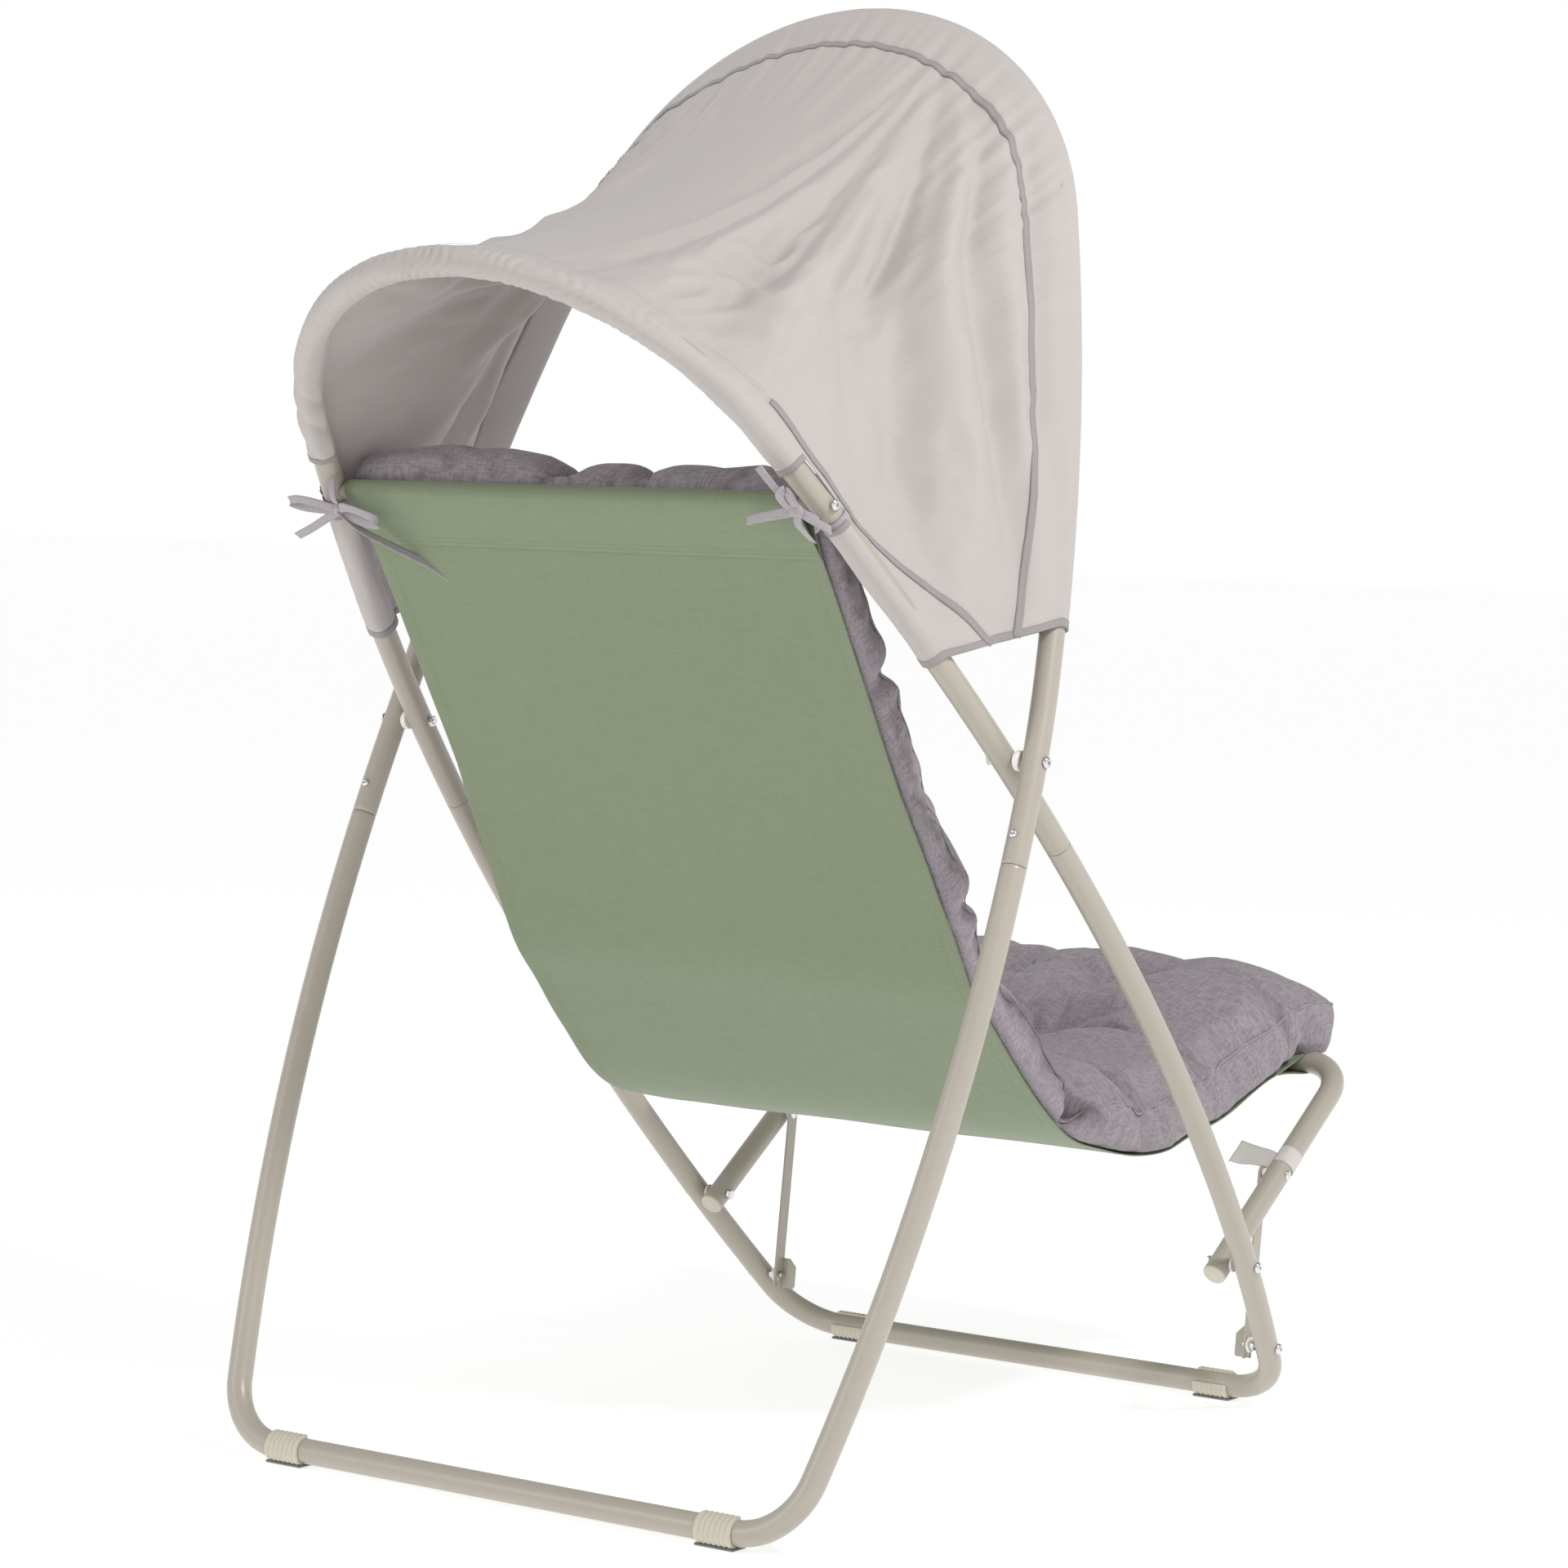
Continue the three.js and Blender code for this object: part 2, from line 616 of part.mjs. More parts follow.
function makeMainPivot({ name, sign }) {
  const centre = tubeCentre(legFrame, sign, 0);
  const outerFace = legFrame.halfWidth(0) + tubeRadius + faceGap(legFrame, 0, BOLT_HEAD_RADIUS);
  const innerFace = backFrame.halfWidth(0) - tubeRadius - faceGap(backFrame, 0, NUT_RADIUS);
  const boltLength = outerFace - innerFace + NUT_HEIGHT;
  placeAlongX(`pivot_bolt_${name}`, boltProfile(boltLength), sign * outerFace, centre, sign, zinc);
  const nut = ringProfile(NUT_HEIGHT, NUT_RADIUS, boreInRing);
  placeAlongX(`pivot_nut_${name}`, nut, sign * innerFace, centre, sign, zinc);
  const spacerOuter = legFrame.halfWidth(0) - tubeRadius - faceGap(legFrame, 0, SPACER_RADIUS);
  const spacerInner = backFrame.halfWidth(0) + tubeRadius + faceGap(backFrame, 0, SPACER_RADIUS);
  placeAlongX(
    `pivot_spacer_${name}`,
    ringProfile(spacerOuter - spacerInner, SPACER_RADIUS, boreInRing),
    sign * spacerOuter, centre, sign, whitePlastic,
  );
}

function makeSeatPivot({ name, sign }) {
  const centre = seatPivotOnBack(sign);
  const legX = backFrame.halfWidth(-seatPivotDrop);
  const outerFace = legX + tubeRadius + faceGap(backFrame, -seatPivotDrop, BOLT_HEAD_RADIUS);
  const innerFace = seatHalfWidth - tubeRadius - TOUCH_GAP;
  const boltLength = outerFace - innerFace + NUT_HEIGHT;
  placeAlongX(`seat_pivot_bolt_${name}`, boltProfile(boltLength), sign * outerFace, centre, sign, zinc);
  placeAlongX(
    `seat_pivot_nut_${name}`,
    ringProfile(NUT_HEIGHT, NUT_RADIUS, boreInRing),
    sign * innerFace, centre, sign, zinc,
  );
  const spacerOuter = legX - tubeRadius - faceGap(backFrame, -seatPivotDrop, WASHER_RADIUS);
  const spacerInner = seatHalfWidth + tubeRadius + TOUCH_GAP;
  placeAlongX(
    `seat_pivot_spacer_${name}`,
    ringProfile(spacerOuter - spacerInner, WASHER_RADIUS, boreInRing),
    sign * spacerOuter, centre, sign, whitePlastic,
  );
}

// Struts. A collar and a washer on the stud keep each strut clear of the front leg.

const studCentre = studOnBack(1);
const legInnerFace = studCentre.x - tubeRadius;
const strutOuterFace = legInnerFace - STUD_WASHER_LENGTH - STUD_COLLAR_LENGTH;
const strutTop = seatPoint(0, STRUT_ALONG_ARM);
const strutReach = new THREE.Vector3(0, studCentre.y - strutTop.y, studCentre.z - strutTop.z);
const strutLength = strutReach.length();
const strutDown = strutReach.clone().normalize();
const strutAcross = new THREE.Vector3(1, 0, 0).cross(strutDown).normalize();

// A point on the strut's face: distance down from its top pivot, and across the bar
function onStrut(down, across) {
  const point = strutTop.clone().addScaledVector(strutDown, down).addScaledVector(strutAcross, across);
  return [point.y, point.z];
}

function strutOutline() {
  const half = STRUT_WIDTH / 2;
  const slot = BOLT_RADIUS + HOOK_SLOT_CLEARANCE;
  const crown = evenly(Math.PI, 0, 6).map((turn) => onStrut(-half * Math.sin(turn), half * Math.cos(turn)));
  const slotCrown = evenly(0, Math.PI, 4).map((turn) =>
    onStrut(strutLength - slot * Math.sin(turn), slot * Math.cos(turn)),
  );
  const foot = strutLength + HOOK_TAIL;
  const feet = (sign) => [onStrut(foot, sign * half), onStrut(foot, sign * slot)];
  return [...crown, ...feet(1), ...slotCrown, ...feet(-1).reverse()];
}

function makeStrut({ name, sign }) {
  const outer = sign * strutOuterFace;
  const inner = sign * (strutOuterFace - STRUT_THICKNESS);
  const plate = extrudeAcross(strutOutline(), Math.min(outer, inner), Math.max(outer, inner));
  const tabTip = sign * (strutOuterFace - STRUT_TAB_REACH);
  const half = STRUT_WIDTH / 2;
  const slot = BOLT_RADIUS + HOOK_SLOT_CLEARANCE;
  const tabTop = strutLength + HOOK_TAIL - STRUT_TAB_HEIGHT;
  const tabOutline = [
    onStrut(tabTop, -half),
    onStrut(tabTop, -half + STRUT_THICKNESS),
    onStrut(strutLength + HOOK_TAIL, -half + STRUT_THICKNESS),
    onStrut(strutLength + HOOK_TAIL, -half),
  ];
  const tab = extrudeAcross(tabOutline, Math.min(tabTip, outer), Math.max(tabTip, outer));
  const slant = STRUT_TAB_CHAMFER * Math.SQRT2;
  const corner = new THREE.BoxGeometry(slant, STRUT_WIDTH, slant).rotateY(Math.PI / 4);
  const [cornerY, cornerZ] = onStrut(tabTop, -half);
  corner.translate(tabTip, cornerY, cornerZ);
  const holeRadius = slot - HOOK_SLOT_CLEARANCE + NUT_SHANK_CLEARANCE;
  const hole = rodAlongX(strutTop.clone().setX(inner), holeRadius, CUT_OVERRUN);
  place(`seat_strut_${name}`, cut(join([plate, tab]), [hole, corner]), paint);
}

function makeStrutPivots({ name, sign }) {
  const armOuter = seatHalfWidth + tubeRadius + TOUCH_GAP;
  const plateInner = strutOuterFace - STRUT_THICKNESS - TOUCH_GAP;
  const rivet = [
    [0, 0],
    [0, NUT_RADIUS],
    [-BOLT_HEAD_HEIGHT / 2, NUT_RADIUS],
    [-BOLT_HEAD_HEIGHT / 2, BOLT_RADIUS],
    [plateInner - armOuter - BOLT_HEAD_HEIGHT / 2, BOLT_RADIUS],
    [plateInner - armOuter - BOLT_HEAD_HEIGHT / 2, NUT_RADIUS],
    [plateInner - armOuter - BOLT_HEAD_HEIGHT, NUT_RADIUS],
    [plateInner - armOuter - BOLT_HEAD_HEIGHT, 0],
  ].reverse();
  placeAlongX(
    `strut_rivet_${name}`, rivet, sign * (armOuter + BOLT_HEAD_HEIGHT / 2), strutTop, sign, zinc,
  );
  const legOuter = studCentre.x + tubeRadius + faceGap(backFrame, -strutStudDrop, BOLT_HEAD_RADIUS);
  const collarOuter = legInnerFace - faceGap(backFrame, -strutStudDrop, STUD_COLLAR_RADIUS) - legOuter;
  const collarInner = strutOuterFace + STUD_WASHER_LENGTH - legOuter;
  const stud = boltProfile(legOuter - plateInner + BOLT_HEAD_HEIGHT);
  const collar = [
    [collarOuter, BOLT_RADIUS],
    [collarOuter, STUD_COLLAR_RADIUS],
    [collarInner, STUD_COLLAR_RADIUS],
    [collarInner, BOLT_RADIUS],
  ];
  stud.splice(-2, 0, ...collar);
  placeAlongX(`strut_stud_${name}`, stud, sign * legOuter, studCentre, sign, zinc);
  placeAlongX(
    `stud_washer_${name}`,
    ringProfile(STUD_WASHER_LENGTH - 2 * TOUCH_GAP, WASHER_RADIUS, boreInRing),
    sign * (strutOuterFace + STUD_WASHER_LENGTH - TOUCH_GAP), studCentre, sign, whitePlastic,
  );
  const armInner = seatHalfWidth - tubeRadius - TOUCH_GAP;
  placeAlongX(
    `strut_spacer_${name}`,
    ringProfile(armInner - strutOuterFace - TOUCH_GAP, NUT_RADIUS, boreInRing),
    sign * armInner, strutTop, sign, whitePlastic,
  );
}

// Sling bar and its screws

const barEndX = backFrame.halfWidth(TOP_BAR_RISE) - tubeRadius / 2;
const barRadius = TOP_BAR_OD / 2;

// Direction of a frame's side tube at a rise, pointing up
function sideDirection(frame, sign, rise) {
  return tubeCentre(frame, sign, rise + 1).sub(tubeCentre(frame, sign, rise - 1)).normalize();
}

function makeTopBar() {
  const wall = [
    [-barEndX, barRadius - TOP_BAR_WALL],
    [-barEndX, barRadius],
    [barEndX, barRadius],
    [barEndX, barRadius - TOP_BAR_WALL],
    [-barEndX, barRadius - TOP_BAR_WALL],
  ];
  const centre = topBarCentre(1);
  const bar = latheAlongX(wall, TUBE_SIDES).translate(0, centre.y, centre.z);
  const copes = SIDES.map(({ sign }) =>
    boreAlong(
      sideDirection(backFrame, sign, TOP_BAR_RISE),
      topBarCentre(sign),
      tubeRadius + 2 * TOUCH_GAP,
      4 * TUBE_OD,
    ),
  );
  place('sling_top_bar', cut(bar, copes), paint);
}

function makeBarScrew({ name, sign }) {
  const tubeX = backFrame.halfWidth(TOP_BAR_RISE);
  const outerFace = tubeX + tubeRadius + faceGap(backFrame, TOP_BAR_RISE, BOLT_HEAD_RADIUS);
  const length = TUBE_OD + BAR_SCREW_LENGTH;
  const screw = boltProfile(length, BAR_SCREW_RADIUS);
  placeAlongX(`sling_bar_screw_${name}`, screw, sign * outerFace, topBarCentre(sign), sign, zinc);
}

function makeSpliceScrew({ name, sign }) {
  const head = [
    [SPLICE_SCREW_HEAD_HEIGHT, 0],
    [SPLICE_SCREW_HEAD_HEIGHT, SPLICE_SCREW_HEAD_RADIUS / 2],
    [SPLICE_SCREW_HEAD_HEIGHT / 2, SPLICE_SCREW_HEAD_RADIUS],
    [0, SPLICE_SCREW_HEAD_RADIUS],
    [0, SPLICE_SCREW_RADIUS],
    [-SPLICE_SCREW_LENGTH, SPLICE_SCREW_RADIUS],
    [-SPLICE_SCREW_LENGTH, 0],
  ];
  const screw = latheAlongX(head);
  screw.applyQuaternion(new THREE.Quaternion().setFromUnitVectors(new THREE.Vector3(1, 0, 0), legFrame.back));
  const seat = spliceScrewPlace(sign).addScaledVector(legFrame.back, tubeRadius + TOUCH_GAP);
  place(`splice_screw_${name}`, screw.translate(seat.x, seat.y, seat.z), zinc);
}

// Clip feet: an open ring round the floor bar with ribs and a flat sole

function makeFoot(name, frame, xSign, ySign) {
  const middle = frame.bendX + FOOT_OVER_BEND - FOOT_LENGTH / 2;
  const centre = frame.at(0, frame.floorRise);
  const inner = tubeRadius + FOOT_INNER_GAP;
  const turns = evenly(degrees(FOOT_LIP_BOTTOM_DEG), degrees(FOOT_LIP_TOP_DEG), FOOT_TURN_STEPS);
  const ribPitch = FOOT_LENGTH / FOOT_RIBS;
  const section = (x, outer) => {
    const at = (turn, radius) => {
      const z = centre.z + radius * Math.sin(turn);
      return new THREE.Vector3(x, centre.y + ySign * radius * Math.cos(turn), Math.max(z, 0));
    };
    return [...turns.map((turn) => at(turn, outer)), ...turns.map((turn) => at(turn, inner)).reverse()];
  };
  const rings = [];
  for (let i = 0; i < FOOT_RIBS; i += 1) {
    const from = xSign * (middle - FOOT_LENGTH / 2 + i * ribPitch);
    const low = inner + FOOT_WALL;
    rings.push(section(from, low));
    rings.push(section(from + (xSign * ribPitch) / 2, low + FOOT_RIB_HEIGHT));
  }
  rings.push(section(xSign * (middle + FOOT_LENGTH / 2), inner + FOOT_WALL));
  const sole = new THREE.BoxGeometry(FOOT_LENGTH + SOLE_OVERHANG, SOLE_WIDTH, SOLE_THICKNESS - TOUCH_GAP);
  sole.translate(xSign * middle, centre.y, (SOLE_THICKNESS - TOUCH_GAP) / 2);
  place(name, join([loft(rings), sole]), footPlastic);
}

// Ribbons: a cloth layer of even thickness along a line of [y, z] points

function ribbonOutline(line, thickness) {
  const half = thickness / 2;
  const normals = line.map((_, i) => {
    const after = line[Math.min(i + 1, line.length - 1)];
    const before = line[Math.max(i - 1, 0)];
    const length = Math.hypot(after[0] - before[0], after[1] - before[1]);
    return [-(after[1] - before[1]) / length, (after[0] - before[0]) / length];
  });
  const shifted = (by) => line.map(([y, z], i) => [y + normals[i][0] * by, z + normals[i][1] * by]);
  return [...shifted(half), ...shifted(-half).reverse()];
}

// The sling

const topBarMiddle = topBarCentre(1).setX(0);

function slingCurve() {
  const stations = SLING_LINE.map(
    ([y, z]) => new THREE.Vector3(0, PIVOT_BEHIND_ORIGIN + y, PIVOT_HEIGHT + z),
  );
  return new THREE.CatmullRomCurve3([topBarMiddle, ...stations, frontBarMiddle], false, 'centripetal');
}

const slingLine = slingCurve();

// Value at a place in a table of [place, value] rows that run downwards
function fromTable(table, place) {
  const next = Math.min(Math.max(table.findIndex(([at]) => at < place), 1), table.length - 1);
  const [[highAt, high], [lowAt, low]] = [table[next - 1], table[next]];
  const share = Math.min(Math.max((highAt - place) / (highAt - lowAt), 0), 1);
  return high + (low - high) * share;
}

const slingHalfWidth = (y) => BACK_HALF_WIDTH - fromTable(SLING_SIDE_INSETS, y - PIVOT_BEHIND_ORIGIN);

const slingLength = slingLine.getLength();
const frontNormal = (tangent) => new THREE.Vector3(0, tangent.z, -tangent.y);

function arcRound(centre, radius, along, normal, fromDeg, toDeg, steps) {
  return evenly(degrees(fromDeg), degrees(toDeg), steps).map((turn) =>
    centre.clone()
      .addScaledVector(normal, radius * Math.cos(turn))
      .addScaledVector(along, radius * Math.sin(turn)),
  );
}

function makeSling() {
  const start = slingLine.getTangentAt(0);
  const startNormal = frontNormal(start);
  const finish = slingLine.getTangentAt(1);
  const finishNormal = frontNormal(finish);
  const loopGap = SLING_LAYER_GAP + SLING_THICKNESS / 2;
  const topRadius = barRadius + loopGap;
  const frontRadius = tubeRadius + loopGap;
  const layer = SLING_THICKNESS + SLING_LAYER_GAP;
  const topLoop = arcRound(topBarMiddle, topRadius, start.clone().negate(), startNormal, 180, 0, 6);
  const frontLoop = arcRound(frontBarMiddle, frontRadius, finish, finishNormal, 0, 180, 7);
  const pocketEnd = slingLine.getPointAt(SLING_POCKET / slingLength).addScaledVector(startNormal, -layer);
  const hemEnd = slingLine.getPointAt(1 - SLING_HEM / slingLength).addScaledVector(finishNormal, -layer);
  const from = SLING_POCKET / slingLength;
  const to = 1 - SLING_HEM / slingLength;
  const body = evenly(from, to, SLING_STEPS).map((share) => slingLine.getPointAt(share));
  const line = [pocketEnd, ...topLoop, ...body, ...frontLoop, hemEnd].map(({ y, z }) => [y, z]);
  const outline = ribbonOutline(line, SLING_THICKNESS);
  const sheet = extrudeAcross(outline, -1, 1);
  const corners = sheet.attributes.position;
  for (let i = 0; i < corners.count; i += 1) {
    corners.setX(i, corners.getX(i) * slingHalfWidth(corners.getY(i)));
  }
  place('sling', sheet, slingCloth);
}

// The cushion: a section swept along the sling, with a crown, drawn-in sides and tufts

const bump = (distance, spread) => Math.exp(-((distance / spread) ** 2));
const cushionLength = slingLength + CUSHION_TOP_OVERHANG + CUSHION_FRONT_OVERHANG;

// Place and direction at a distance along the cushion, measured from its top end
function cushionStation(distance) {
  const share = (distance - CUSHION_TOP_OVERHANG) / slingLength;
  const held = Math.min(Math.max(share, 0), 1);
  const tangent = slingLine.getTangentAt(held);
  const point = slingLine.getPointAt(held).addScaledVector(tangent, (share - held) * slingLength);
  const overTop = barRadius * bump((share * slingLength) / SLING_POCKET, 1);
  const overFront = tubeRadius * bump(((share - 1) * slingLength) / SLING_POCKET, 1);
  const lift = SLING_THICKNESS + CUSHION_REST_GAP + overTop + overFront;
  const beyondTop = share < 0 ? barRadius - overTop : 0;
  const beyondFront = share > 1 ? tubeRadius - overFront : 0;
  const half = slingHalfWidth(point.y) + CUSHION_BESIDE_SLING;
  return { point, normal: frontNormal(tangent), lift: lift + beyondTop + beyondFront, half };
}

const tuftRows = (() => {
  const rows = [];
  const addRows = (from, to) => {
    for (let at = from; at < to - TUFT_PITCH / 2; at += TUFT_PITCH) rows.push(at);
  };
  addRows(TUFT_FROM_TOP, CREASE_FROM_TOP);
  addRows(CREASE_FROM_TOP + TUFT_PITCH, cushionLength);
  return rows;
})();

function endRound(distance) {
  const toEnd = Math.min(distance, cushionLength - distance);
  if (toEnd >= CUSHION_END_ROUND) return 1;
  const part = 1 - toEnd / CUSHION_END_ROUND;
  return Math.sqrt(Math.max(1 - part ** 2, 0));
}

function cushionTop(x, distance, widest) {
  const across = Math.abs(x) / widest;
  const crown = CUSHION_EDGE_HEIGHT + (CUSHION_THICKNESS - CUSHION_EDGE_HEIGHT) * (1 - across ** 4);
  const tuft = tuftRows.reduce((sum, row) => {
    const near = [-1, 1].map((side) => Math.hypot(distance - row, x - side * TUFT_SIDE_OFFSET));
    return sum + near.reduce((part, reach) => part + bump(reach, TUFT_SPREAD), 0);
  }, 0);
  const crease = CREASE_DEPTH * bump(distance - CREASE_FROM_TOP, CREASE_SPREAD);
  return crown - TUFT_DEPTH * tuft - crease;
}

function cushionSection(distance) {
  const { point, normal, lift, half: widest } = cushionStation(distance);
  const round = endRound(distance);
  const pinch = tuftRows.reduce((sum, row) => sum + bump(distance - row, TUFT_SPREAD / 2), 0);
  const half = widest - SIDE_PINCH * pinch;
  const shares = [-1, -0.86, -0.62, -0.41, -0.2, 0, 0.2, 0.41, 0.62, 0.86, 1];
  const at = (x, height) => {
    const rise = lift + CUSHION_THICKNESS / 2 + (height - CUSHION_THICKNESS / 2) * (0.35 + 0.65 * round);
    return point.clone().setX(x).addScaledVector(normal, rise);
  };
  const top = shares.map((share) => at(share * half, cushionTop(share * half, distance, widest)));
  const side = CUSHION_EDGE_HEIGHT / 2;
  const under = [0.9, 0.45, 0, -0.45, -0.9].map((share) => at(share * half, 0));
  return [...top, at(half + SIDE_PINCH / 2, side), ...under, at(-half - SIDE_PINCH / 2, side)];
}

function makeCushion() {
  const end = CUSHION_END_ROUND / 6;
  const middle = evenly(CUSHION_END_ROUND, cushionLength - CUSHION_END_ROUND, CUSHION_STATIONS);
  const stations = [0, end, 3 * end, ...middle, cushionLength - 3 * end, cushionLength - end, cushionLength];
  place('cushion', loft(stations.map(cushionSection)), cushionCloth);
}

// The canopy: one cloth sleeved over both hoops, with its web stretched between them

function canopyStrip(rearPoint, frontPoint, rearTangent, frontTangent, sagShare) {
  const span = frontPoint.clone().sub(rearPoint);
  const middleOut = rearPoint.clone().add(frontPoint).multiplyScalar(0.5).sub(canopyHeart);
  const basis = (tangent) => {
    const toFront = span.clone().addScaledVector(tangent, -span.dot(tangent)).normalize();
    const out = tangent.clone().cross(toFront).normalize();
    if (out.dot(middleOut) < 0) out.negate();
    return { toFront, out };
  };
  const onSleeve = (centre, { toFront, out }, turn, radius) =>
    centre.clone()
      .addScaledVector(toFront, radius * Math.cos(turn))
      .addScaledVector(out, radius * Math.sin(turn));
  const rearBasis = basis(rearTangent);
  const frontBasis = basis(frontTangent);
  const wrap = degrees(SLEEVE_WRAP_START_DEG);
  const rearTurns = evenly(wrap, -1.5 * Math.PI, SLEEVE_POINTS);
  const frontTurns = evenly(Math.PI / 2, -Math.PI - wrap, SLEEVE_POINTS);
  const layer = (radius) => {
    const rear = rearTurns.map((turn) => onSleeve(rearPoint, rearBasis, turn, radius));
    const front = frontTurns.map((turn) => onSleeve(frontPoint, frontBasis, turn, radius));
    const from = rear.at(-1);
    const to = front[0];
    const out = rearBasis.out.clone().add(frontBasis.out).normalize();
    const web = evenly(0, 1, WEB_POINTS).slice(1, -1).map((share) =>
      from.clone().lerp(to, share).addScaledVector(out, -4 * WEB_SAG * sagShare * share * (1 - share)),
    );
    return [...rear, ...web, ...front];
  };
  const inside = layer(SLEEVE_INNER_RADIUS);
  const outside = layer(SLEEVE_INNER_RADIUS + CANOPY_THICKNESS);
  return [...outside, ...inside.reverse()];
}

const canopyHeart = new THREE.Vector3(0, PIVOT_BEHIND_ORIGIN, PIVOT_HEIGHT);

function makeCanopy() {
  const rear = mirrored(hoopStations(backFrame)).map(([x, rise]) => backFrame.at(x, rise));
  const front = mirrored(hoopStations(legFrame)).map(([x, rise]) => legFrame.at(x, rise));
  const rearAlong = tangents(rear);
  const frontAlong = tangents(front);
  const last = rear.length - 1;
  const strips = rear.map((point, i) =>
    canopyStrip(point, front[i], rearAlong[i], frontAlong[i], Math.sin((Math.PI * i) / last)),
  );
  const notches = SIDES.map(({ sign }) =>
    rodAlongX(topBarCentre(sign), NOTCH_RADIUS, 4 * TUBE_OD, 2 * TUBE_SIDES),
  );
  place('canopy', cut(loft(strips, 'capped', 2), notches), canopyCloth);
}

// Tie bands with a bow, one at each top corner of the cushion

function makeTie({ name, sign }) {
  const tube = tubeCentre(backFrame, sign, TIE_RISE);
  const inset = TIE_KNOT_INSETS[name];
  const bandInner = tubeRadius + TIE_BAND_GAP;
  const bandOuter = bandInner + TIE_CLOTH;
  const half = TIE_BAND_WIDTH / 2;
  const band = new THREE.LatheGeometry([
    new THREE.Vector2(bandInner, -half),
    new THREE.Vector2(bandOuter, -half),
    new THREE.Vector2(bandOuter, half),
    new THREE.Vector2(bandInner, half),
    new THREE.Vector2(bandInner, -half),
  ], TUBE_SIDES);
  const upright = new THREE.Vector3(0, 1, 0);
  const along = sideDirection(backFrame, sign, TIE_RISE);
  band.applyQuaternion(new THREE.Quaternion().setFromUnitVectors(upright, along));
  band.translate(tube.x, tube.y, tube.z);
  const behind = bandOuter + TIE_KNOT_RADIUS + inset * TIE_KNOT_BACK_SHARE;
  const knot = tube.clone().addScaledVector(backFrame.back, behind).setX(tube.x - sign * inset);
  knot.addScaledVector(backFrame.up, TIE_KNOT_RISE * (inset / TIE_KNOT_INSETS.right));
  const atKnot = (geometry) => geometry.translate(knot.x, knot.y, knot.z);
  const root = tube.clone().addScaledVector(backFrame.back, bandOuter);
  const reach = knot.clone().sub(root);
  const link = boreAlong(reach.clone().normalize(), root.clone().lerp(knot, 0.5), TIE_CLOTH, reach.length());
  const ball = (radius) => new THREE.SphereGeometry(radius, 8, 6);
  const loops = [-1, 1].map((way) =>
    ball(TIE_LOOP_RADIUS)
      .scale(TIE_LOOP_LENGTH / TIE_LOOP_RADIUS / 2, TIE_CLOTH * 2 / TIE_LOOP_RADIUS, 1)
      .rotateY(way * degrees(18))
      .translate(way * (TIE_LOOP_LENGTH / 2), 0, 0),
  );
  const tails = [-1, 1].map((way) =>
    new THREE.BoxGeometry(TIE_BAND_WIDTH, TIE_CLOTH, TIE_TAIL_LENGTH)
      .translate(0, 0, -TIE_TAIL_LENGTH / 2)
      .rotateY(way * degrees(-32)),
  );
  const bow = [ball(TIE_KNOT_RADIUS), ...loops, ...tails].map(atKnot);
  place(`tie_${name}`, join([band, link, ...bow]), cushionCloth);
}

// The label wraps the arm, and its two glued ends stand inwards as a flag with a curled tip
function makeLabel() {
  const ends = [-LABEL_WIDTH / 2, LABEL_WIDTH / 2].map((by) =>
    seatPoint(-seatHalfWidth, LABEL_ALONG_ARM + by),
  );
  const inner = tubeRadius + TOUCH_GAP;
  const band = hollowTube(ends, seatUp, ends.map(() => [inner + LABEL_THICKNESS, inner]));
  const tilt = degrees(LABEL_TILT_DEG);
  const flat = LABEL_LENGTH - LABEL_CURL;
  const line = [
    [inner * Math.cos(Math.PI / TUBE_SIDES) + LABEL_THICKNESS / 3, 0],
    [inner + flat, flat * Math.tan(tilt)],
    [inner + flat + LABEL_CURL / 2, flat * Math.tan(tilt) - LABEL_CURL / 3],
    [inner + flat + LABEL_CURL / 3, flat * Math.tan(tilt) - LABEL_CURL],
  ];
  const outline = ribbonOutline(line, 2 * LABEL_THICKNESS);
  const shape = new THREE.Shape(outline.map(([across, up]) => new THREE.Vector2(across, up)));
  const flag = new THREE.ExtrudeGeometry(shape, { depth: LABEL_WIDTH, bevelEnabled: false });
  const axes = new THREE.Matrix4().makeBasis(new THREE.Vector3(1, 0, 0), seatUp, seatForward);
  flag.applyMatrix4(axes).translate(ends[0].x, ends[0].y, ends[0].z);
  place('label_flag', join([band, flag]), tagCloth);
}

makeFrontLegs();
makeBackHoop();
makeRearLegs();
makeFrontHoop();
makeSeatFrame();
makeTopBar();
SIDES.forEach(makeEndCap);
SIDES.forEach(makeMainPivot);
SIDES.forEach(makeSeatPivot);
SIDES.forEach(makeStrut);
SIDES.forEach(makeStrutPivots);
SIDES.forEach(makeBarScrew);
SIDES.forEach(makeSpliceScrew);
SIDES.forEach(({ name, sign }) => makeFoot(`front_foot_${name}`, backFrame, sign, -1));
SIDES.forEach(({ name, sign }) => makeFoot(`rear_foot_${name}`, legFrame, sign, 1));
makeSling();
makeCushion();
makeCanopy();
SIDES.forEach(makeTie);
makeLabel();

export default chair;
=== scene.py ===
import math

import bpy
import numpy as np
from mathutils import Matrix, Vector, kdtree, noise


